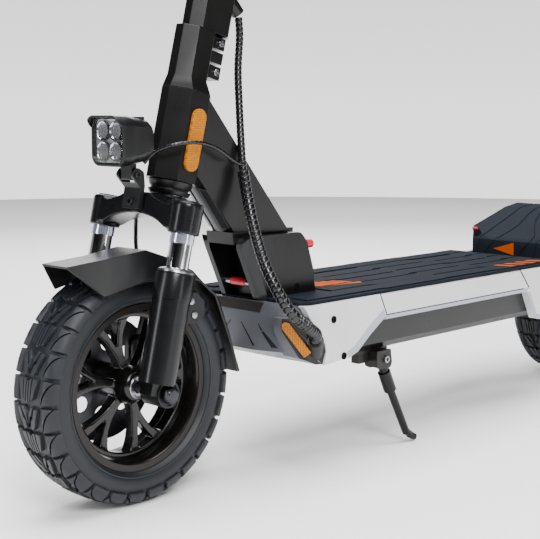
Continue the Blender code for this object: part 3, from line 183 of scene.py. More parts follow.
def material(name, colour, rough, metal=0.0, grain=600.0, bump=0.05, mottle=18.0, shade=0.15,
             coat=0.0, rough_span=0.08, glow=None, glow_strength=0.35, edge_wear_and_highlight=None, transmission=0.0,
             specular=0.5):
    """Painted, moulded or metal surface: fine grain in the bump, slow variation in colour and gloss."""
    mat = bpy.data.materials.new(name)
    mat.use_nodes = True
    tree = mat.node_tree
    shader = tree.nodes["Principled BSDF"]
    place = add(tree, "TexCoord").outputs["Object"]
    slow = add(tree, "TexNoise", Vector=place, Scale=mottle, Detail=5).outputs["Fac"]
    tint = ramp(tree, slow, (0.3, [c * (1 - shade) for c in colour]),
                (0.7, [min(1, c * (1 + shade)) for c in colour]))
    # Convex edges turn lighter: partly edge wear, partly a painted highlight along the edges.
    if edge_wear_and_highlight:
        pointed = add(tree, "NewGeometry").outputs["Pointiness"]
        mix = add(tree, "Mix")
        mix.data_type = "RGBA"
        feed(tree, mix, Factor=ramp(tree, pointed, (0.53, (0, 0, 0)), (0.6, (1, 1, 1))), A=tint,
             B=(*edge_wear_and_highlight, 1))
        tint = mix.outputs["Result"]
    gloss = add(tree, "MapRange", Value=slow, To_Min=max(0.02, rough - rough_span),
                To_Max=min(1.0, rough + rough_span)).outputs["Result"]
    fine = add(tree, "TexNoise", Vector=place, Scale=grain, Detail=3).outputs["Fac"]
    raised = add(tree, "Bump", Height=fine, Strength=bump, Distance=0.001).outputs["Normal"]
    feed(tree, shader, Base_Color=tint, Roughness=gloss, Normal=raised, Metallic=metal, Coat_Weight=coat,
         Coat_Roughness=0.15, Transmission_Weight=transmission, Specular_IOR_Level=specular)
    if glow:
        feed(tree, shader, Emission_Color=(*glow, 1), Emission_Strength=glow_strength)
    return mat


def celled(mat, scale, strength, distance, randomness=1.0):
    """Puts a relief of small cells in place of the grain. Returns the distance from their middles."""
    tree = mat.node_tree
    cells = add(tree, "TexVoronoi", Vector=add(tree, "TexCoord").outputs["Object"], Scale=scale,
                Randomness=randomness).outputs["Distance"]
    raised = add(tree, "Bump", Height=cells, Strength=strength, Distance=distance).outputs["Normal"]
    feed(tree, tree.nodes["Principled BSDF"], Normal=raised)
    return cells


def reflector_material():
    """Amber acrylic over rows of tiny corner cubes. Its faint glow is painted light, as the reflector is no
    lamp.
    """
    mat = material("reflector_amber", (0.6, 0.21, 0.001), 0.32, grain=300, bump=0.02, shade=0.1,
                   specular=0.25, glow=(1.0, 0.34, 0.0), glow_strength=0.13)
    cells = celled(mat, 520, 0.6, 0.0008, randomness=0.15)
    tree = mat.node_tree
    tint = ramp(tree, cells, (0.0, (0.72, 0.27, 0.0003)), (0.6, (0.2, 0.055, 0.0002)))
    feed(tree, tree.nodes["Principled BSDF"], Base_Color=tint)
    return mat


def mat_rubber_material():
    """Deck rubber with a fine moulded pebble."""
    mat = material("deck_rubber", (0.01, 0.0125, 0.0175), 0.75, grain=900, bump=0.1, shade=0.12,
                   specular=0.05)
    celled(mat, 700, 0.35, 0.0006)
    return mat


MATS = {
    "frame_black": material("satin_frame_paint", (0.0058, 0.0055, 0.0053), 0.3, 0.2, bump=0.04, coat=0.08,
                            edge_wear_and_highlight=(0.013, 0.014, 0.016), specular=0.32),
    "fork_graphite": material("fork_paint", (0.008, 0.0082, 0.0092), 0.27, 0.5, bump=0.03, coat=0.08,
                              specular=0.35),
    "chrome": material("chrome", (0.8, 0.8, 0.82), 0.07, 1.0, grain=1500, bump=0.01, shade=0.03,
                       rough_span=0.03),
    "tyre": material("tyre_rubber", (0.0078, 0.0094, 0.0122), 0.5, grain=900, bump=0.1, mottle=25, shade=0.2,
                     edge_wear_and_highlight=(0.016, 0.018, 0.022), specular=0.36),
    "rim_black": material("rim_paint", (0.004, 0.0036, 0.0033), 0.24, 0.3, bump=0.02, coat=0.2, specular=0.4),
    "steel": material("brushed_steel", (0.3, 0.3, 0.32), 0.28, 1.0, grain=900, shade=0.1),
    "plastic_black": material("moulded_black", (0.005, 0.0051, 0.0057), 0.38, grain=900, bump=0.07,
                              edge_wear_and_highlight=(0.01, 0.011, 0.013), specular=0.32),
    "cover_white": material("silver_white_cover", (0.62, 0.62, 0.64), 0.34, 0.15, bump=0.04, shade=0.03,
                            coat=0.2),
    "mat_rubber": mat_rubber_material(),
    "nose_grey": material("nose_paint", (0.14, 0.146, 0.168), 0.38, 0.35, grain=1200, bump=0.06, shade=0.08),
    "amber": reflector_material(),
    "red": material("red_plastic", (0.5, 0.01, 0.018), 0.36, bump=0.04, coat=0.3, shade=0.08),
    "lens": material("lamp_lens", (0.94, 0.95, 0.97), 0.03, grain=200, bump=0.01, shade=0.01,
                     rough_span=0.01, transmission=1.0),
    "battery_blue": material("battery_film", (0.03, 0.07, 0.18), 0.45, bump=0.2, grain=90),
    "rubber": material("grip_rubber", (0.008, 0.008, 0.009), 0.7, grain=1000, bump=0.2, specular=0.35),
    "cable_black": material("cable_jacket", (0.004, 0.004, 0.005), 0.26, grain=500, bump=0.02, coat=0.15,
                            specular=0.4),
    "screen": material("screen_gloss", (0.005, 0.006, 0.008), 0.1, grain=400, bump=0.01, coat=1.0,
                       rough_span=0.03),
}
# Orange ink with a faint glow: painted light, as the print is no lamp.
ORANGE = material("orange_print", (0.37, 0.058, 0.0001), 0.7, grain=900, shade=0.05, specular=0.05,
                  glow=(0.9, 0.16, 0.0), glow_strength=0.05)
STRIP_BROWN = material("nose_strip", (0.03, 0.026, 0.025), 0.38, 0.3, bump=0.06)
BAND = material("band", (0.55, 0.56, 0.7), 0.16, 0.8, bump=0.02, shade=0.04)
# Near black for dark joints and grooves and the lamp bowls' rims, and as painted shade on screws that sit in
# recesses.
DARK = material("dark_joint_and_recess_shade", (0.002, 0.002, 0.0025), 0.7, specular=0.1)
CORNER = material("nose_corner", (0.0105, 0.0095, 0.0088), 0.48, grain=1100, bump=0.08, specular=0.3)
COVER_SHADE = material("cover_edge", (0.36, 0.37, 0.41), 0.36, 0.15, bump=0.04, shade=0.03)
# Painted shade for the creases in the nose's front.
CREASE_SHADE = material("nose_crease_shade", (0.01, 0.011, 0.015), 0.5, bump=0.03, specular=0.2)
GLOSS = material("stand_gloss", (0.003, 0.0028, 0.0028), 0.14, grain=900, bump=0.02, specular=0.24)
LIP_BROWN = material("rim_lip", (0.015, 0.0125, 0.011), 0.38, 0.4, bump=0.03, specular=0.4)
CLEVIS = material("stand_bracket", (0.012, 0.01, 0.0088), 0.36, 0.4, specular=0.4)
# Steel far darker than the brushed steel, for the brake disc and the front axle.
DARK_STEEL = material("dark_grey_steel", (0.045, 0.045, 0.05), 0.32, 0.9, grain=900, shade=0.12)
GLYPH = material("display_glyph", (0.55, 0.75, 0.85), 0.4, bump=0.01, glow=(0.5, 0.75, 0.9))
LED_BOWL = material("lamp_bowl", (0.62, 0.63, 0.66), 0.09, 1.0, grain=260, shade=0.05)
LED_PLATE = material("lamp_bezel", (0.5, 0.51, 0.54), 0.32, 0.6, grain=1400, bump=0.25, shade=0.1)
LED_CHIP = material("lamp_chip", (0.75, 0.68, 0.3), 0.4, bump=0.02)


# --- mesh tools ---

def bevelled(obj, width, segments):
    edge = obj.modifiers.new("edge", "BEVEL")
    edge.width = width
    edge.segments = segments
    edge.limit_method = "ANGLE"
    edge.angle_limit = radians(30)
    return edge


def keep(bm, name, look, body, instead_of=(), angle=32, bevel=0.0, segments=2):
    """Makes the piece, rounds its edges, and rides it on its body."""
    mesh = bpy.data.meshes.new(name)
    bmesh.ops.recalc_face_normals(bm, faces=bm.faces)
    bm.to_mesh(mesh)
    bm.free()
    obj = placed(name, mesh)
    mesh.materials.append(look if isinstance(look, bpy.types.Material) else MATS[look])
    mesh.shade_smooth()
    mesh.set_sharp_from_angle(angle=radians(angle))
    if bevel:
        bevelled(obj, bevel, segments).harden_normals = True
    if body:
        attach(obj, body)
    if instead_of:
        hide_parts(*instead_of)
    return obj


def join(parts):
    """One bmesh out of several."""
    whole = bmesh.new()
    for part in parts:
        mesh = bpy.data.meshes.new("part")
        part.to_mesh(mesh)
        part.free()
        whole.from_mesh(mesh)
        bpy.data.meshes.remove(mesh)
    return whole


def moved(bm, matrix):
    bmesh.ops.transform(bm, matrix=matrix, verts=bm.verts)
    if matrix.determinant() < 0:
        bmesh.ops.reverse_faces(bm, faces=bm.faces)
    return bm


def loft(rings, closed=False):
    bm = bmesh.new()
    loops = [[bm.verts.new(p) for p in ring] for ring in rings]
    pairs = list(zip(loops, loops[1:]))
    if closed:
        pairs.append((loops[-1], loops[0]))
    count = len(rings[0])
    for a, b in pairs:
        for i in range(count):
            j = (i + 1) % count
            bm.faces.new((a[i], a[j], b[j], b[i]))
    if not closed:
        bm.faces.new(loops[0])
        bm.faces.new(loops[-1])
    return bm


def prism(outline, axis, low, high):
    def corner(p, h):
        return {"x": (h, p[0], p[1]), "y": (p[0], h, p[1]), "z": (p[0], p[1], h)}[axis]
    return loft([[corner(p, h) for p in outline] for h in (low, high)])


def circle(count):
    """(cosine, sine) pairs evenly spaced round a circle."""
    angles = [2 * pi * k / count for k in range(count)]
    return [(cos(angle), sin(angle)) for angle in angles]


def box(x, y, z):
    return prism([(x[0], y[0]), (x[1], y[0]), (x[1], y[1]), (x[0], y[1])], "z", *z)


def turned(profile, centre=(0, 0, 0), axis="Y", segments=64):
    """Closed (height, radius) profile spun round an axis."""
    x, y, z = centre

    def corner(h, u, v):
        return {"X": (x + h, y + u, z + v), "Y": (x + u, y + h, z + v), "Z": (x + u, y + v, z + h)}[axis]
    return loft([[corner(h, r * c, r * s) for h, r in profile] for c, s in circle(segments)], closed=True)


def rod(start, end, radius, segments=32, end_radius=None):
    start, end = Vector(start), Vector(end)
    along = end - start
    bm = bmesh.new()
    bmesh.ops.create_cone(bm, cap_ends=True, segments=segments, radius1=radius,
                          radius2=radius if end_radius is None else end_radius, depth=along.length)
    turn = along.to_track_quat("Z", "Y").to_matrix().to_4x4()
    return moved(bm, Matrix.Translation((start + end) / 2) @ turn)


def fine_curve(points, spacing):
    """Evenly spaced points on a smooth curve through a route."""
    ps = [Vector(p) for p in points]
    chain = [2 * ps[0] - ps[1]] + ps + [2 * ps[-1] - ps[-2]]
    fine, steps = [], 24
    for i in range(1, len(chain) - 2):
        p0, p1, p2, p3 = chain[i - 1:i + 3]
        for k in range(steps):
            t = k / steps
            fine.append(0.5 * (2 * p1 + (p2 - p0) * t + (2 * p0 - 5 * p1 + 4 * p2 - p3) * t * t
                               + (3 * p1 - p0 - 3 * p2 + p3) * t ** 3))
    fine.append(chain[-2])
    total = sum((b - a).length for a, b in zip(fine, fine[1:]))
    count = max(4, round(total / spacing))
    spread, walked, k = [fine[0]], 0.0, 0
    for n in range(1, count):
        goal = total * n / count
        while walked + (fine[k + 1] - fine[k]).length < goal:
            walked += (fine[k + 1] - fine[k]).length
            k += 1
        step = fine[k + 1] - fine[k]
        spread.append(fine[k] + step * ((goal - walked) / step.length))
    spread.append(fine[-1])
    return spread, total


def tube_rings(path, radius_at, segments=16):
    """Rings round a path. radius_at(distance, turn) gives the radius there."""
    tangents = []
    for i in range(len(path)):
        tangents.append((path[min(i + 1, len(path) - 1)] - path[max(i - 1, 0)]).normalized())
    side = tangents[0].orthogonal().normalized()
    rings, walked = [], 0.0
    for i, (p, t) in enumerate(zip(path, tangents)):
        if i:
            walked += (p - path[i - 1]).length
        side = (side - t * side.dot(t)).normalized()
        other = t.cross(side)
        ring = []
        for k in range(segments):
            turn = k / segments
            angle = 2 * pi * turn
            r = radius_at(walked, turn)
            ring.append(tuple(p + (side * cos(angle) + other * sin(angle)) * r))
        rings.append(ring)
    return rings


def cast(bm, voxel, smoothing):
    """Melts overlapping solids into one smooth casting."""
    mesh = bpy.data.meshes.new("cast")
    bm.to_mesh(mesh)
    bm.free()
    obj = placed("cast", mesh)
    melt = obj.modifiers.new("melt", "REMESH")
    melt.mode = "VOXEL"
    melt.voxel_size = voxel
    relax = obj.modifiers.new("relax", "SMOOTH")
    relax.factor = 0.5
    relax.iterations = smoothing
    bpy.context.view_layer.update()
    solid = bpy.data.meshes.new_from_object(obj.evaluated_get(bpy.context.evaluated_depsgraph_get()))
    bpy.data.objects.remove(obj)
    bpy.data.meshes.remove(mesh)
    melted = bmesh.new()
    melted.from_mesh(solid)
    bpy.data.meshes.remove(solid)
    return melted


def round_rect(half_w, low, high, radius):
    """Rounded rectangle as (across, up) points, anticlockwise from the lower right corner."""
    points, count = [], 12
    for cx, cz, start in ((half_w - radius, low + radius, -90), (half_w - radius, high - radius, 0),
                          (-half_w + radius, high - radius, 90), (-half_w + radius, low + radius, 180)):
        for k in range(count):
            angle = radians(start + 90 * k / (count - 1))
            points.append((cx + radius * cos(angle), cz + radius * sin(angle)))
    return points


def socket_bolt(place, facing, radius, height=None):
    """Socket head screw standing on a surface."""
    h = height or radius * 0.8
    segments, socket = 24, radius * 0.55
    rings = [[(r * c, r * s, z) for c, s in circle(segments)]
             for r, z in ((radius, -0.0004), (radius, h * 0.85), (radius * 0.9, h))]
    for z in (h, h * 0.25):
        ring = []
        for k, (c, s) in enumerate(circle(segments)):
            off_flat = (2 * pi * k / segments) % (pi / 3) - pi / 6
            flat = cos(pi / 6) / cos(off_flat)
            ring.append((socket * flat * c, socket * flat * s, z))
        rings.append(ring)
    turn = Vector(facing).normalized().to_track_quat("Z", "Y").to_matrix().to_4x4()
    return moved(loft(rings), Matrix.Translation(place) @ turn)


def screws(name, heads, look, body, matrix=None):
    """Socket head screws as one piece. Each head is (place, facing, radius, height)."""
    whole = join([socket_bolt(*head) for head in heads])
    keep(moved(whole, matrix or Matrix()), name, look, body, angle=40)


# --- tyre and wheels ---

# Half section of the tyre's outer surface, from the middle of the tread to the sidewall
TREAD_LINE = [(0.0, 0.1285), (0.011, 0.1284), (0.02, 0.1278), (0.0275, 0.1255), (0.0328, 0.1212),
              (0.0352, 0.116), (0.036, 0.11), (0.0357, 0.104)]
TREAD_UNITS = 14
TREAD_PITCH = 2 * pi * TYRE_R / TREAD_UNITS
LUG_CUT = 0.004


def tread_point(t, theta, lift, side, centre):
    """Point on the tread: t along the section from the middle, theta round the wheel."""
    if t < 0:
        t, side = -t, -side
    walked = 0.0
    for (y0, r0), (y1, r1) in zip(TREAD_LINE, TREAD_LINE[1:]):
        length = hypot(y1 - y0, r1 - r0)
        if t <= walked + length or (y1, r1) == TREAD_LINE[-1]:
            share = (t - walked) / length
            y, r = y0 + (y1 - y0) * share, r0 + (r1 - r0) * share
            ny, nr = -(r1 - r0) / length, (y1 - y0) / length
            break
        walked += length
    y, r = side * (y + ny * lift), r + nr * lift
    return (centre[0] + r * cos(theta), centre[1] + y, centre[2] + r * sin(theta))


def lug_template(outline, depth, lean=0.0007, chamfer=0.0005):
    """Flat lug of the outline (t, w), cut finely enough to wrap round the tread."""
    middle = Vector((sum(p[0] for p in outline) / len(outline), sum(p[1] for p in outline) / len(outline)))

    def ring(lift, grow):
        loop = []
        for p in outline:
            away = Vector(p) - middle
            at = middle + away * (1 + grow / away.length)
            loop.append((at.x, at.y, lift))
        return loop

    bm = loft([ring(-depth, lean), ring(-0.0005, 0.0), ring(0.0, -chamfer)])
    for axis, normal in enumerate(((1, 0, 0), (0, 1, 0))):
        values = [v.co[axis] for v in bm.verts]
        at = ceil(min(values) / LUG_CUT) * LUG_CUT
        while at < max(values):
            bmesh.ops.bisect_plane(bm, geom=bm.verts[:] + bm.edges[:] + bm.faces[:], dist=1e-5,
                                   plane_co=Vector(normal) * at, plane_no=normal)
            at += LUG_CUT
    verts = [v.co.copy() for v in bm.verts]
    bm.verts.index_update()
    faces = [[v.index for v in f.verts] for f in bm.faces]
    bm.free()
    return verts, faces


def arc(start, middle, end, steps):
    """Points on a smooth bow from start to end, pulled towards the middle."""
    points = []
    for k in range(steps + 1):
        t = k / steps
        points.append(tuple((1 - t) ** 2 * a + 2 * t * (1 - t) * b + t * t * c
                            for a, b, c in zip(start, middle, end)))
    return points


def tread_templates():
    """Each lug's template, its place in half pitches, and the sides that it stands on."""
    half = TREAD_PITCH / 2
    low, high = 0.05 * half, 0.95 * half
    sipe = arc((0.0352, 0.92 * half), (0.0255, 0.72 * half), (0.0212, 0.07 * half), 6)
    back = [(t + 0.0014, w - 0.0006) for t, w in sipe]
    inner = [(0.0188, low), (0.0192, high)] + sipe
    outer = [(0.0424, 0.9 * half), (0.0424, 0.11 * half)] + back[::-1]
    # Lugs down the middle: where each stands, its sides, and its outline with w in half pitches
    middle = [
        (0.5, (1,), [(-0.005, -0.36), (-0.003, -0.4), (-0.0024, 0.4), (-0.0064, 0.44)]),
        (0.5, (1,), [(-0.0016, -0.42), (0.0016, -0.42), (0.0011, 0.34), (-0.0011, 0.34)]),
        (0.5, (1,), [(0.003, -0.4), (0.005, -0.36), (0.0064, 0.44), (0.0024, 0.4)]),
        (0.5, (1, -1), [(0.0064, -0.34), (0.0098, -0.28), (0.015, 0.28), (0.0146, 0.42), (0.008, 0.44)]),
        (-0.5, (1, -1), [(0.0034, -0.42), (0.0078, -0.42), (0.01, -0.32), (0.0162, 0.26), (0.0154, 0.38),
                         (0.0118, 0.36), (0.0076, -0.04), (0.0052, -0.08)]),
        (-0.5, (1, -1), [(0.0012, -0.24), (0.0036, 0.04), (0.0058, 0.1), (0.0098, 0.38), (0.0066, 0.43),
                         (0.002, 0.14)])]
    rows = [([(t, w * half) for t, w in shape], 0.0046, place, sides) for place, sides, shape in middle]
    rows += [(shape, 0.0044, place, (1, -1)) for place in (0.0, -1.0) for shape in (inner, outer)]
    return [(lug_template(shape, depth), place, sides) for shape, depth, place, sides in rows]


def hoop(centre, y, low, high, segments):
    """Thin ring that stands proud of a wheel's side."""
    return turned([(y - 0.0006, low), (y + 0.0006, low), (y + 0.0006, high), (y - 0.0006, high)],
                  centre, "Y", segments)


def tyre(name, centre, body, node):
    """Knobbly tyre: shields and forked lugs down the middle, and notched shoulder blocks."""
    base = [(0.0, 0.1245), (0.011, 0.1244), (0.0195, 0.1236), (0.0255, 0.1213), (0.0298, 0.1172),
            (0.0322, 0.113), (0.0335, 0.1085), (0.0337, 0.104), (0.0326, 0.0985), (0.029, 0.094),
            (0.0268, 0.0926), (0.0262, 0.0921), (0.022, 0.0921), (0.022, 0.085)]
    profile = [(-h, r) for h, r in reversed(base[1:])] + base
    parts = [turned(profile, centre, "Y", 112)]
    lugs = bmesh.new()
    half = TREAD_PITCH / 2
    # Shoulder blocks sink towards their inner ends
    shoulder, inner_end, run, sink = 0.018, 0.0186, 0.006, 0.0038
    for (verts, faces), place, sides in tread_templates():
        for k in range(TREAD_UNITS):
            for side in sides:
                made = []
                for co in verts:
                    inward = max(0.0, 1 - (co.x - inner_end) / run) if co.x > shoulder else 0.0
                    lift = co.z - sink * min(1.0, inward) ** 2
                    theta = (k * TREAD_PITCH + place * half + co.y) / TYRE_R
                    made.append(lugs.verts.new(tread_point(co.x, theta, lift, side, centre)))
                for face in faces:
                    order = face if side > 0 else face[::-1]
                    lugs.faces.new([made[i] for i in order])
    parts += [hoop(centre, side * 0.0318, 0.0965, 0.0975, 112) for side in (1, -1)]
    keep(join(parts + [lugs]), name, "tyre", body, instead_of=(node,), angle=30)


def spoke_arm(centre, base_angle, swing, depth):
    """Curved arm from the hub to the rim, one half of a split spoke."""
    rings = []
    steps, hub_r, rim_r = 10, 0.015, 0.0805
    for k in range(steps + 1):
        share = k / steps
        r = hub_r + (rim_r - hub_r) * share
        angle = base_angle + swing * (share ** 1.35)
        half = 0.005 - 0.0012 * sin(pi * min(1, share * 1.1)) + 0.0022 * share ** 5
        y_top = depth + 0.003 - 0.003 * sin(pi * share)
        y_low = depth - 0.013
        u = Vector((cos(angle), 0, sin(angle)))
        w = Vector((-sin(angle), 0, cos(angle)))
        rings.append([tuple(centre + u * r + w * across + Vector((0, y, 0)))
                      for across, y in ((-half, y_low), (half, y_low), (half, y_top), (-half, y_top))])
    return loft(rings)


def around(centre, radius, count, first, y):
    """Evenly spaced places on a circle round a wheel's axle, with the angle of each."""
    for k in range(count):
        angle = radians(360 / count * k + first)
        yield centre + Vector((radius * cos(angle), y, radius * sin(angle))), angle


def front_wheel():
    """Cast wheel: a dished barrel, a ring inside it, and six split spokes up to the hub."""
    c = FRONT_AXLE
    barrel = [(-0.0256, 0.079), (-0.0256, 0.0916), (-0.0234, 0.092), (-0.0218, 0.09), (-0.0216, 0.085),
              (0.0216, 0.085), (0.0218, 0.09), (0.0234, 0.092), (0.0256, 0.0916), (0.0258, 0.0852),
              (0.0246, 0.0838), (0.0222, 0.083), (0.019, 0.0812), (0.01, 0.08), (-0.018, 0.0785)]
    keep(turned(barrel, c, "Y", 112), "front_rim_barrel", "rim_black", "front_wheel",
         instead_of=("front_rim",), angle=35)
    lip = [(0.025, 0.0842), (0.0263, 0.0846), (0.0263, 0.091), (0.025, 0.0914)]
    keep(turned(lip, c, "Y", 112), "front_rim_lip", LIP_BROWN, "front_wheel")
    depth = 0.004
    ring = [(depth - 0.012, 0.0745), (depth - 0.012, 0.0815), (depth + 0.004, 0.0815),
            (depth + 0.004, 0.0745)]
    parts = [turned(ring, c, "Y", 96)]
    spokes, first, split = 6, 12, 15.5
    for k in range(spokes):
        for swing in (split, -split):
            parts.append(spoke_arm(c, radians(360 / spokes * k + first), radians(swing), depth))
    hub = [(-0.038, 0.0075), (-0.038, 0.017), (-0.035, 0.0185), (0.006, 0.0215), (0.013, 0.019),
           (0.019, 0.016), (0.0215, 0.0125), (0.0215, 0.0075)]
    parts.append(turned(hub, c, "Y", 48))
    keep(cast(join(parts), 0.0012, 3), "front_wheel_spokes", "rim_black", "front_wheel",
         angle=60)
    seal = [(0.02, 0.0072), (0.02, 0.0128), (0.0228, 0.0128), (0.0236, 0.0118), (0.023, 0.01),
            (0.023, 0.0072)]
    keep(turned(seal, c, "Y", 40), "front_bearing_seal", "steel", "front_wheel")
    valve_angle = 1.9
    outward = Vector((cos(valve_angle), 0, sin(valve_angle)))
    valve = c + outward * 0.074
    keep(rod(valve - outward * 0.018, valve + outward * 0.006, 0.0026, 16), "front_valve", "rubber",
         "front_wheel")
    screws("front_disc_bolts", [(p, (0, -1, 0), 0.0036) for p, _ in around(c, 0.026, 6, 30, -0.0403)],
           "steel", "front_wheel")


def rear_wheel_details():
    """Screws round the motor's covers, and a line round each side of its rim."""
    heads = []
    for side in (1, -1):
        for p, angle in around(REAR_AXLE, 0.052, 8, 12, side * 0.0352):
            heads.append((p, (0.28 * cos(angle), side, 0.28 * sin(angle)), 0.003))
    screws("motor_cover_screws", heads, "steel", "rear_wheel")
    rings = [hoop(REAR_AXLE, side * 0.0257, 0.0835, 0.085, 72) for side in (1, -1)]
    keep(join(rings), "motor_rim_lines", "rim_black", "rear_wheel")


# --- cables ---

CLIP = (-0.144, 0.036, 0.358)
UPPER_ROUTE = [(-0.166, 0.0068, 0.53), (-0.1665, 0.008, 0.508), (-0.161, 0.011, 0.47),
               (-0.156, 0.018, 0.43), (-0.148, 0.029, 0.39), CLIP]
LOWER_ROUTE = [(-0.144, 0.0363, 0.3562), (-0.144, 0.044, 0.325), (-0.14, 0.058, 0.292),
               (-0.133, 0.08, 0.258), (-0.136, 0.098, 0.227), (-0.148, 0.1085, 0.202),
               (-0.168, 0.114, 0.185), (-0.1875, 0.11, 0.1733), (-0.1926, 0.104, 0.1654)]
LAMP_ROUTE = [(-0.024, 0.006, 0.368), (-0.033, 0.015, 0.38), (-0.045, 0.033, 0.388),
              (-0.07, 0.041, 0.39), (-0.1, 0.04, 0.383), (-0.126, 0.042, 0.368),
              (-0.1375, 0.0432, 0.3645)]
HOSE_ROUTE = [(-0.048, -0.037, 0.308), (-0.056, -0.048, 0.29), (-0.06, -0.052, 0.265),
              (-0.066, -0.05, 0.23), (-0.069, -0.048, 0.2), (-0.064, -0.047, 0.182),
              (-0.06, -0.0465, 0.1716)]


def wrapped_cable(name, route, radius, pitch, node, body_a, body_b, groove=0.0011, boot=0.0):
    """Cable in a ringed wrap along its route, riding on no body; body_a and body_b are not used. A boot ends
    it where asked.
    """
    points = [(fore(x), y, z) for x, y, z in route]
    path, length = fine_curve(points, pitch / 12)
    boot_pitch = 0.0042

    def radius_at(walked, turn):
        if walked > length - boot:
            phase = (walked / boot_pitch) % 1.0
            return radius * 1.04 - 0.0013 * (2 * phase - 1) ** 2
        phase = (walked / pitch + 0.14 * sin(2 * pi * turn)) % 1.0
        return radius - groove * (2 * phase - 1) ** 8

    rings = tube_rings(path, radius_at, 20)
    obj = keep(loft(rings), name, "cable_black", None, instead_of=(node,), angle=60)
    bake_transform(obj)


def cables():
    """The two lengths of the cable bundle, the lamp's lead and the front brake's line."""
    # Name, route, radius, pitch of the wrap, node, the two bodies, depth of the wrap's groove, boot
    for cable in (
            ("cable_bundle_upper", UPPER_ROUTE, 0.0045, 0.0056, "cable_upper", "steering", "neck"),
            ("cable_bundle_lower", LOWER_ROUTE, 0.0066, 0.0066, "cable_lower", "neck", "deck", 0.0011, 0.052),
            ("lamp_lead", LAMP_ROUTE, 0.0022, 0.0056, "headlight_cable", "steering", "neck", 0.0005),
            ("front_brake_line", HOSE_ROUTE, 0.0024, 0.005, "brake_hose", "steering", "fork_lower", 0.0002)):
        wrapped_cable(*cable)


# --- fork, head and lamp ---

def crown():
    """Cast crown: two sockets, an arched bridge and the raised middle, with soft edges."""
    back, front = FORK_A - 0.0145, FORK_A + 0.016
    arch = [(-FORK_Y, -0.004)] + arc((-FORK_Y + 0.015, -0.006), (-0.033, 0.006), (0.0, 0.0068), 8)
    arch += arc((0.0, 0.0068), (0.033, 0.006), (FORK_Y - 0.015, -0.006), 8)[1:] + [(FORK_Y, -0.004)]
    arch += [(FORK_Y, 0.019)] + arc((0.048, 0.0195), (0.03, 0.023), (0.019, 0.03), 6)
    arch += arc((-0.019, 0.03), (-0.03, 0.023), (-0.048, 0.0195), 6) + [(-FORK_Y, 0.019)]
    socket = [(-0.01, 0.013), (-0.01, 0.017), (0.0205, 0.0174), (0.024, 0.016), (0.024, 0.0002),
              (0.0, 0.0002), (0.0, 0.013)]
    parts = [prism(arch, "x", back, front)]
    parts += [turned(socket, (FORK_A, side * FORK_Y, 0), "Z", 48) for side in (1, -1)]
    parts.append(rod((0, 0, 0.008), (0, 0, 0.033), 0.0235, 48))
    body = cast(join(parts), 0.0013, 7)
    keep(moved(body, STEERING), "crown_casting", "fork_graphite", "steering", instead_of=("fork_crown",),
         angle=70)
    steerer = turned([(0.03, 0.0115), (0.03, 0.0143), (0.219, 0.0143), (0.219, 0.0115)], axis="Z",
                     segments=40)
    keep(moved(steerer, STEERING), "steerer_tube", "steel", "steering")


# Rings round each fork leg: name, (height, radius) section, segments, look, body and slot
FORK_RINGS = (
    ("dust_seal_", [(-0.0509, 0.0133), (-0.0509, 0.02), (-0.0488, 0.0196), (-0.047, 0.0162),
                    (-0.0462, 0.0133)], 40, "steel", "fork_lower", None),
    ("stanchion_band_", [(-0.02, 0.01235), (-0.02, 0.013), (-0.0102, 0.013), (-0.0102, 0.01235)],
     40, BAND, "steering", "chrome"),
    ("crown_cap_", [(0.0241, 0.002), (0.0241, 0.0122), (0.0254, 0.0118), (0.0258, 0.009),
                    (0.0252, 0.002)], 32, "plastic_black", "steering", None),
    ("lower_sleeve_", [(-0.079, 0.0199), (-0.079, 0.0212), (-0.054, 0.0213), (-0.052, 0.0206),
                       (-0.052, 0.0199)], 48, "fork_graphite", "fork_lower", None))


def fork_details():
    """The crown, the rings and screws on each leg, and the bolts of the lamp's bracket and the clamp."""
    crown()
    for side, word in ((1, "left"), (-1, "right")):
        for name, section, segments, look, body, slot in FORK_RINGS:
            ring = turned(section, (FORK_A, side * FORK_Y, 0), "Z", segments)
            keep(moved(ring, STEERING), name + word, look, body)
        screws("fender_screws_" + word, [((fore(x), side * 0.06, z), (0, side, 0), 0.0038, 0.0014)
                                         for x, z in ((-0.043, 0.2215), (-0.047, 0.2062))],
               "steel", "fork_lower")
    heads = [((fore(-0.0105), 0, 0.327), (1, 0, 0.25), 0.0042, 0.003)]
    heads += [((fore(-0.0085), side * 0.014, 0.356), (0, side, 0), 0.0036, 0.0026) for side in (1, -1)]
    screws("lamp_bracket_bolts", heads, "plastic_black", "steering")
    heads = [((-0.0295, side * 0.0086, height), (0, side, 0), 0.004, 0.003)
             for height in (0.181, 0.2145) for side in (1, -1)]
    screws("clamp_bolts", heads, "steel", "steering", matrix=STEERING)


# Case: distance forward, half width, bottom, top and corner radius, from the back to the recessed face
LAMP_STATIONS = (
    (-0.027, 0.0185, 0.3765, 0.408, 0.012), (-0.0255, 0.0215, 0.3735, 0.4115, 0.013),
    (-0.02, 0.0238, 0.3705, 0.4145, 0.013), (-0.01, 0.0252, 0.3685, 0.4165, 0.0125),
    (0.002, 0.0262, 0.367, 0.4176, 0.012), (0.006, 0.0272, 0.3658, 0.4184, 0.0118),
    (0.01, 0.0275, 0.3652, 0.4188, 0.0118), (0.0192, 0.0275, 0.3652, 0.4188, 0.0118),
    (0.0204, 0.0268, 0.366, 0.4181, 0.0112), (0.0204, 0.0248, 0.368, 0.4162, 0.0098),
    (0.0192, 0.024, 0.3688, 0.4154, 0.009), (0.0142, 0.0236, 0.3692, 0.415, 0.0086))
LAMP_MIDDLE = 0.392
VISOR_LOW, VISOR_RISE = 0.403, 0.013


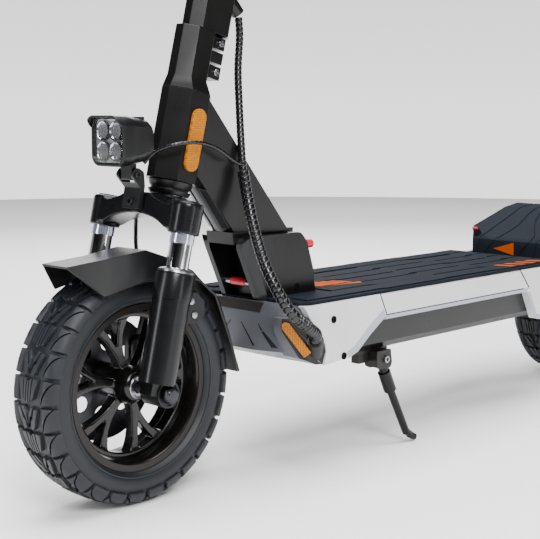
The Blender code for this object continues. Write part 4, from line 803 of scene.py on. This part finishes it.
def lamp_case():
    """Rounded case with a recessed face, a hollow in each side, and a curved visor over the lens."""
    rings = []
    for x, half, low, high, radius in LAMP_STATIONS:
        ring = []
        for y, z in dense(round_rect(half, low, high, radius)):
            hollow = -0.024 < x < 0.0055 and 0.3795 < z < 0.4055 and abs(y) > half - 0.004
            ring.append((fore(x), y - (copysign(0.0014, y) if hollow else 0.0), z))
        rings.append(ring)
    keep(loft(rings), "lamp_case", "plastic_black", "headlight", instead_of=("headlight_housing",), angle=35,
         bevel=0.0007)
    rings = []
    for y, z in dense(round_rect(0.0277, 0.365, 0.419, 0.012)):
        if z > VISOR_LOW:
            share = max(0.0, min(1.0, (z - VISOR_LOW) / VISOR_RISE))
            back, front = fore(0.017), fore(0.0198 + 0.0078 * (3 * share ** 2 - 2 * share ** 3))
            away = Vector((y, z - LAMP_MIDDLE)).normalized() * 0.0022
            u, v = y - away.x, z - away.y
            rings.append([(back, y, z), (front, y, z), (front, u, v), (back, u, v)])
    keep(loft(rings), "lamp_visor", "plastic_black", "headlight", angle=35, bevel=0.0006)
    ear = box((fore(-0.012), fore(-0.004)), (-0.0096, 0.0096), (0.35, 0.372))
    keep(ear, "lamp_ear", "plastic_black", "headlight", bevel=0.002, segments=3)


def dense(points):
    """Closed outline with every side halved."""
    more = []
    for a, b in zip(points, points[1:] + points[:1]):
        more += [tuple(u + (v - u) * share for u, v in zip(a, b)) for share in (0.0, 0.5)]
    return more


# Bowl: radius, distance forward, and whether every other corner dips there
BOWL_STATIONS = ((0.0098, 0.0168, False), (0.0098, 0.0176, False), (0.009, 0.0176, True),
                 (0.0066, 0.0163, True), (0.003, 0.0152, True), (0.0016, 0.0151, False))


def bowl(y, z):
    rings = []
    for r, x, dips in BOWL_STATIONS:
        rings.append([(fore(x - (0.0007 if dips and k % 2 else 0.0)), y + r * c, z + r * s)
                      for k, (c, s) in enumerate(circle(16))])
    return loft(rings)


def lamp():
    """Four faceted bowls, each with its chip, in a pale plate behind a thin clear lens."""
    lamp_case()
    plate = [[(fore(x), y, z) for y, z in round_rect(0.0234, 0.3694, 0.4148, 0.0086)]
             for x in (0.0144, 0.015)]
    keep(loft(plate), "lamp_bezel", LED_PLATE, "headlight")
    lens = [[(fore(x), y, z) for y, z in round_rect(half, 0.3922 - tall, 0.3922 + tall, radius)]
            for x, half, tall, radius in ((0.0186, 0.0232, 0.0228, 0.0084), (0.0193, 0.0232, 0.0228, 0.0084),
                                          (0.0198, 0.0215, 0.0211, 0.0072))]
    keep(loft(lens), "lamp_window", "lens", "headlight", instead_of=("headlight_lens",))
    centres = [(y, z) for y in (-0.0106, 0.0106) for z in (0.3816, 0.4028)]
    rim = [(0.015, 0.0095), (0.018, 0.0098), (0.018, 0.0104), (0.015, 0.0104)]
    chip = [(0.015, 0.0002), (0.0158, 0.0002), (0.0158, 0.0017), (0.015, 0.002)]
    keep(join([bowl(y, z) for y, z in centres]), "lamp_bowls", LED_BOWL, "headlight", angle=8)
    for name, section, look, slot in (("lamp_bowl_rims", rim, DARK, "plastic_black"),
                                      ("lamp_chips", chip, LED_CHIP, "lens")):
        rings = [turned(section, (FRONT_X, y, z), "X", 28) for y, z in centres]
        keep(join(rings), name, look, "headlight")
    fins = [box((fore(-0.017), fore(-0.001)), (-0.0162 + 0.0062 * k, -0.0144 + 0.0062 * k),
                (0.4135, 0.4176)) for k in range(6)]
    keep(join(fins), "lamp_fins", "plastic_black", "headlight", bevel=0.0004)


# --- deck ---

def strip(x_front, x_rear, centre, jogs, half):
    """Outline of one raised panel of the mat, which steps sideways at each jog."""
    line, y = [(x_front, centre)], centre
    for x, step in jogs:
        if x_rear < x < x_front:
            line += [(x + 0.006, y), (x - 0.006, y + step)]
            y += step
    line.append((x_rear, y))
    return [(x, y + half) for x, y in line] + [(x, y - half) for x, y in reversed(line)]


def printed(points):
    """Thin coat of ink on the mat."""
    return prism(ahead(points), "z", MAT_TOP - 0.0002, MAT_TOP + 0.0002)


def deck_mat():
    """Rubber mat: a thin base with long raised panels between dog-legged grooves, and its prints."""
    side, notch = 0.098, 0.0401
    left = [(-0.2655, notch), (-0.1785, notch), (-0.179, 0.089), (-0.192, side), (-0.7325, side),
            (-0.741, 0.0895)]
    outline = left + [(x, -y) for x, y in reversed(left)]
    parts = [prism(ahead(outline), "z", 0.2041, 0.2078)]
    jogs = [(-0.345, 0.007), (-0.47, -0.007), (-0.59, 0.007), (-0.69, -0.007)]
    for k, centre in enumerate((-0.078, -0.047, -0.016, 0.016, 0.047, 0.078)):
        outer = abs(centre) > 0.06
        path = [(x + 0.012 * (k % 2), step * 0.4 if outer else step) for x, step in jogs]
        front, half = (-0.193, 0.0132) if outer else (-0.27, 0.0137)
        parts.append(prism(ahead(strip(front, -0.728, centre, path, half)), "z", 0.207, MAT_TOP))
    keep(join(parts), "deck_grip_mat", "mat_rubber", "deck", instead_of=("deck_mat",), bevel=0.0005)
    marks = []
    for k in range(5):
        x, y = -0.276 - 0.0125 * k, -0.01 + 0.004 * k
        marks.append(printed([(x, y), (x - 0.009, 0.03), (x - 0.018, 0.03), (x - 0.008, y)]))
    marks.append(printed([(-0.3, 0.033), (-0.348, 0.044), (-0.352, 0.036), (-0.312, 0.033)]))
    for k in range(4):
        x = -0.61 - 0.026 * k
        marks.append(printed([(x, 0.066), (x - 0.01, 0.09), (x - 0.022, 0.09), (x - 0.012, 0.066)]))
    keep(join(marks), "mat_chevrons", ORANGE, "deck")


# The kick plate's profile from its front foot up and back, then its grooves as (distance, y) lines
KICK_LINE = [(-0.7421, 0.2055), (-0.7428, 0.2275), (-0.745, 0.2307), (-0.855, 0.2714), (-0.894, 0.2753)]
KICK_EDGE = [(0.0, 0.0588), (0.0255, 0.0592), (0.0675, 0.085), (0.145, 0.0738), (0.186, 0.0785)]
KICK_GROOVES = [
    [(s, -y) for s, y in KICK_EDGE],
    [(0.0, -0.052), (0.0225, -0.047), (0.08, -0.045), (0.186, -0.0435)],
    [(0.0, -0.036), (0.012, -0.029), (0.024, -0.019), (0.035, -0.0148), (0.055, -0.0106), (0.08, -0.009),
     (0.12, -0.016), (0.186, -0.017)],
    [(0.0, 0.024), (0.012, 0.0312), (0.026, 0.0425), (0.045, 0.04), (0.06, 0.03), (0.098, 0.0092),
     (0.13, 0.001), (0.186, -0.004)],
    [(0.0, 0.05), (0.03, 0.054), (0.06, 0.056), (0.145, 0.047), (0.186, 0.0455)],
    KICK_EDGE]


def along(line, distance):
    """Point that far along an open line of (a, b) points."""
    for p, q in zip(line, line[1:]):
        step = Vector(q) - Vector(p)
        if distance <= step.length or q == line[-1]:
            return Vector(p) + step * (distance / step.length)
        distance -= step.length


def level(table, s):
    """Straight-line value of a table of (s, value) rows."""
    for (s0, v0), (s1, v1) in zip(table, table[1:]):
        if s <= s1:
            return v0 + (v1 - v0) * (s - s0) / (s1 - s0)
    return table[-1][1]


def kick_plate_details():
    """Rubber panels between wandering grooves, an orange triangle, and the hook's red tip."""
    gap, chamfer, sunk, shoulder, proud = 0.0013, 0.001, -0.0008, 0.0006, 0.0014
    count, start, spacing, reach = 40, 0.0005, 0.0046, 0.002
    panels = []
    for low, high in zip(KICK_GROOVES, KICK_GROOVES[1:]):
        rings = []
        for k in range(count):
            s = start + spacing * k
            p = along(KICK_LINE, s)
            run = (along(KICK_LINE, s + reach) - along(KICK_LINE, max(0.0, s - reach))).normalized()
            out = Vector((run.y, -run.x))
            y0, y1 = level(low, s) + gap, level(high, s) - gap
            section = ((y0, sunk), (y1, sunk), (y1, shoulder), (y1 - chamfer, proud), (y0 + chamfer, proud),
                       (y0, shoulder))
            points = [(y, p + out * lift) for y, lift in section]
            rings.append([(fore(q.x), y, q.y) for y, q in points])
        panels.append(loft(rings))
    keep(join(panels), "kick_plate_panels", "mat_rubber", "deck", angle=24)
    x = fore(-0.7408)
    mark = loft([[(x + d, -0.0205, 0.2165), (x + d - 0.0005, 0.015, 0.2275), (x + d, 0.0155, 0.2085)]
                 for d in (0, 0.0006)])
    keep(mark, "kick_plate_triangle", ORANGE, "deck")
    tip = ahead([(-0.745, 0.247), (-0.7428, 0.2445), (-0.745, 0.2418), (-0.748, 0.244)])
    keep(prism(tip, "y", -0.0625, -0.0535), "parking_hook_tab", "red", "deck", bevel=0.0004)


def nose_front(y, z):
    """How far forward the nose's faceted front stands there."""
    return min(-0.165 - 0.0875 * (z - 0.147), -0.165 - 0.281 * (abs(y) - 0.03) + 0.0625 * (z - 0.147))


def nose_details():
    """Dark corner plates round the side lenses, the cable's boss, creases drawn as strips of painted shade,
    and the strip along the top.
    """
    plates = []
    nose, inner, smallest = NODES["nose_cover"].data, 0.07, 2e-5
    for polygon in nose.polygons:
        n, c = polygon.normal, polygon.center
        on_corner = abs(n.z) < 0.05 and n.x > 0.5 and abs(n.y) > 0.7
        on_side = abs(n.y) > 0.99 and abs(c.y) > 0.096
        if (on_corner or on_side) and abs(c.y) >= inner and polygon.area >= smallest:
            corners = [nose.vertices[i].co for i in polygon.vertices]
            plates.append(loft([[tuple(p + n * lift) for p in corners] for lift in (-0.0004, 0.0005)]))
    plates.append(rod((fore(-0.2062), 0.0883, 0.1445), (fore(-0.1933), 0.1032, 0.1643), 0.011, 32, 0.0105))
    keep(join(plates), "nose_corner_plates", CORNER, "deck")
    # Each crease is a thin dark strip on the nose's front, widening downwards: painted shade in the fold.
    creases = []
    for side in (1, -1):
        for (y0, z0), (y1, z1), width in (((0.037, 0.179), (0.059, 0.152), 0.0075),
                                          ((0.0085, 0.178), (0.032, 0.152), 0.0026)):
            rings = []
            for k in range(9):
                share = k / 8
                y, z = y0 + (y1 - y0) * share, z0 + (z1 - z0) * share
                half = 0.0004 + width / 2 * share
                section = ((y - half, 0.0003), (y + half, 0.0003), (y + half, -0.0015), (y - half, -0.0015))
                rings.append([(fore(nose_front(v, z) + lift), side * v, z) for v, lift in section])
            creases.append(loft(rings))
    keep(join(creases), "nose_crease_shadows", CREASE_SHADE, "deck")
    outline = [(-0.0385, 0.1915), (0.0385, 0.1915), (0.0425, 0.2032), (-0.0425, 0.2032)]
    rings = [[(fore(-0.172 + (0.2038 - z) * 0.2083 + lift), y, z) for y, z in outline]
             for lift in (-0.002, 0.001)]
    keep(loft(rings), "nose_strip", STRIP_BROWN, "deck", bevel=0.0005)


def on_sides(shapes):
    """Thin plates on both sides of the deck. Each shape is (outline, how far out it stands)."""
    inner = 0.0976
    return join([prism(ahead(outline), "y", *sorted((side * inner, side * outer)))
                 for side in (1, -1) for outline, outer in shapes])


def cover_details():
    """Shaded facets along the covers' lower edges, the strip's lip, and the joints between them."""
    facets = [([(-0.329, 0.1756), (-0.3, 0.1572), (-0.275, 0.1384), (-0.2592, 0.1334), (-0.2545, 0.1405),
                (-0.269, 0.146), (-0.2945, 0.1655), (-0.3235, 0.184)], 0.0989),
              ([(-0.3302, 0.1761), (-0.3277, 0.1713), (-0.6468, 0.1713), (-0.6524, 0.1761)], 0.0984),
              ([(-0.6478, 0.1703), (-0.6697, 0.1308), (-0.7, 0.1248), (-0.701, 0.131), (-0.6745, 0.1368),
                (-0.656, 0.1712)], 0.0989)]
    seams = [([(-0.3166, 0.2037), (-0.3178, 0.2037), (-0.3312, 0.1767), (-0.33, 0.1767)], 0.0987),
             ([(-0.6292, 0.2037), (-0.6304, 0.2037), (-0.6538, 0.1776), (-0.6526, 0.1776)], 0.0987)]
    keep(on_sides(facets), "cover_edges", COVER_SHADE, "deck")
    keep(on_sides(seams), "cover_joints", DARK, "deck")


def rear_spring():
    """Coil over a damper between the deck and the swingarm, with a cup on each."""
    x, top, bottom = fore(-0.7885), 0.189, 0.1598
    radius, turns, steps = 0.0078, 4.5, 150
    path = []
    for k in range(steps + 1):
        share = k / steps
        angle = 2 * pi * turns * share
        path.append(Vector((x + radius * cos(angle), radius * sin(angle),
                            top + (bottom - top) * share)))
    coil = loft(tube_rings(path, lambda walked, turn: 0.0019, 10))
    coil = keep(coil, "rear_coil", "red", None, instead_of=("rear_shock",), angle=60)
    damper = keep(rod((x, 0, 0.196), (x, 0, 0.1528), 0.0056, 28), "rear_damper", "steel", None)
    for piece in (coil, damper):
        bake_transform(piece)
    for name, body, low, high in (("rear_shock_top", "deck", 0.1905, 0.1985),
                                  ("rear_shock_foot", "swingarm", 0.1503, 0.1583)):
        cup = [(low, 0.002), (low, 0.0108), (low + 0.0012, 0.0115), (high - 0.0012, 0.0115), (high, 0.0108),
               (high, 0.002)]
        keep(turned(cup, (x, 0, 0), "Z", 36), name, "plastic_black", body)


def deck_details():
    """Screws and grooves in the covers, the fold block's lock pin and screws, and the stand's bolt."""
    screws("stand_bolt", [((fore(-0.34), 0.0905, 0.1185), (0, 1, 0), 0.0046, 0.0026)], "steel", "deck")
    # The cover screws are near black: painted shade of their recessed holes.
    heads = [((fore(x), side * 0.0983, z), (0, side, 0), 0.0044, 0.0012) for side in (1, -1)
             for x, z in ((-0.231, 0.183), (-0.25, 0.137), (-0.69, 0.188), (-0.77, 0.15))]
    screws("cover_screws", heads, DARK, "deck")
    lines = [box((fore(-0.64), fore(-0.326)), sorted((side * 0.0979, side * 0.0984)), (0.1762, 0.1772))
             for side in (1, -1)]
    keep(join(lines), "strip_grooves", DARK, "deck")
    for name, half, radius, look in (("lock_pin", 0.0226, 0.0038, "steel"),
                                     ("lock_pin_sleeve", 0.012, 0.0046, "red")):
        x, z = fore(-0.1735), 0.2238
        keep(rod((x, -half, z), (x, half, z), radius, 32), name, look, "deck")
    # The fold block's screws are near black too: painted shade of their recessed sockets.
    heads = [((fore(-0.231), side * 0.0395, 0.2155), (0, side, 0), 0.0046, 0.0007) for side in (1, -1)]
    screws("block_screws", heads, DARK, "deck")


def display_details():
    """Lit bars on the screen."""
    tilt = radians(-24)
    place = STEERING @ Matrix.Translation((-0.03, 0, BAR_S + 0.03)) @ Matrix.Rotation(tilt, 4, "Y")
    bars = [((0.004, 0.018), (-0.004, 0.004)), ((-0.014, -0.01), (-0.024, 0.006))]
    bars += [((-0.006, -0.002), (-0.024 + 0.006 * k, -0.02 + 0.006 * k)) for k in range(5)]
    glyphs = join([box(x, y, (0.007, 0.0072)) for x, y in bars])
    keep(moved(glyphs, place), "display_bars", GLYPH, "steering")


def keel_rails():
    """Raised strips down the chamfers at the front of the beam."""
    top, bottom, shoulder = (Vector((fore(x), y, z)) for x, y, z in
                             ((-0.0989, 0.0057, 0.34), (-0.1381, 0.0057, 0.2898), (-0.1437, 0.018, 0.2902)))
    down, across = (bottom - top).normalized(), (shoulder - bottom)
    out = down.cross(across).normalized()
    if out.y < 0:
        out = -out
    shape = [top + down * 0.002 + across * 0.16, bottom - down * 0.001 + across * 0.1,
             bottom - down * 0.001 + across * 0.9, top + down * 0.007 + across * 0.86]
    rails = [loft([[(q.x, side * q.y, q.z) for q in (p + out * lift for p in shape)]
                   for lift in (-0.0005, 0.0016)]) for side in (1, -1)]
    keep(join(rails), "beam_rails", "plastic_black", "neck", bevel=0.0009)


def grips():
    """Rows of raised ribs round each grip."""
    rows, inner_end, spacing, radius, swell = 14, 0.203, 0.0064, 0.0163, 0.0008
    for side, word in ((1, "left"), (-1, "right")):
        rings = []
        for k in range(rows):
            y = side * (inner_end + spacing * k)
            r = radius + swell * sin(pi * k / (rows - 1))
            rib = [(y - 0.0014, r - 0.0012), (y + 0.0014, r - 0.0012), (y + 0.0009, r + 0.0008),
                   (y - 0.0009, r + 0.0008)]
            rings.append(turned(rib, (BAR_A, 0, BAR_S), "Y", 32))
        keep(moved(join(rings), STEERING), "grip_ribs_" + word, "rubber", "steering")


# --- the CAD nodes that stay ---

# Edge widths by slot, then the nodes that differ from their slot
EDGES = {"frame_black": 0.001, "fork_graphite": 0.0012, "plastic_black": 0.0008, "cover_white": 0.0012,
         "nose_grey": 0.001, "amber": 0.0005, "red": 0.0005, "rim_black": 0.0008, "screen": 0.0008}
OWN_EDGE = {"fold_block": 0.0028, "kick_plate": 0.003, "side_strip_left": 0.001, "side_strip_right": 0.001}
OWN_LOOK = {"front_disc": DARK_STEEL, "front_axle": DARK_STEEL, "front_caliper": MATS["plastic_black"],
            "kick_plate": MATS["mat_rubber"], "kickstand": GLOSS, "kickstand_bracket": CLEVIS}


def dress_cad():
    """Gives every CAD node its material and rounded edges. The pale covers keep flat facets."""
    weld, weight = 0.00002, 80
    slots = {row["node"]: row["material_slot"] for row in frame["record"]["subparts"]}
    for name, obj in NODES.items():
        slot = slots[name]
        obj.data.materials.clear()
        obj.data.materials.append(OWN_LOOK.get(name, MATS[slot]))
        for polygon in obj.data.polygons:
            polygon.material_index = 0
        if "custom_normal" in obj.data.attributes:
            obj.data.attributes.remove(obj.data.attributes["custom_normal"])
        flat = slot == "cover_white"
        if flat:
            obj.data.shade_flat()
        else:
            obj.data.shade_smooth()
        obj.modifiers.new("weld", "WELD").merge_threshold = weld
        width = OWN_EDGE.get(name, EDGES.get(slot, 0.0))
        if width:
            bevelled(obj, width, 1 if flat else 3)
        if not flat:
            normals = obj.modifiers.new("normals", "WEIGHTED_NORMAL")
            normals.keep_sharp = False
            normals.weight = weight


# --- build ---

camera()
dress_cad()
cables()
studio()
tyre("front_tyre_knobs", FRONT_AXLE, "front_wheel", "front_tyre")
tyre("rear_tyre_knobs", REAR_AXLE, "rear_wheel", "rear_tyre")
front_wheel()
rear_wheel_details()
fork_details()
lamp()
deck_mat()
kick_plate_details()
nose_details()
cover_details()
rear_spring()
deck_details()
display_details()
grips()
keel_rails()
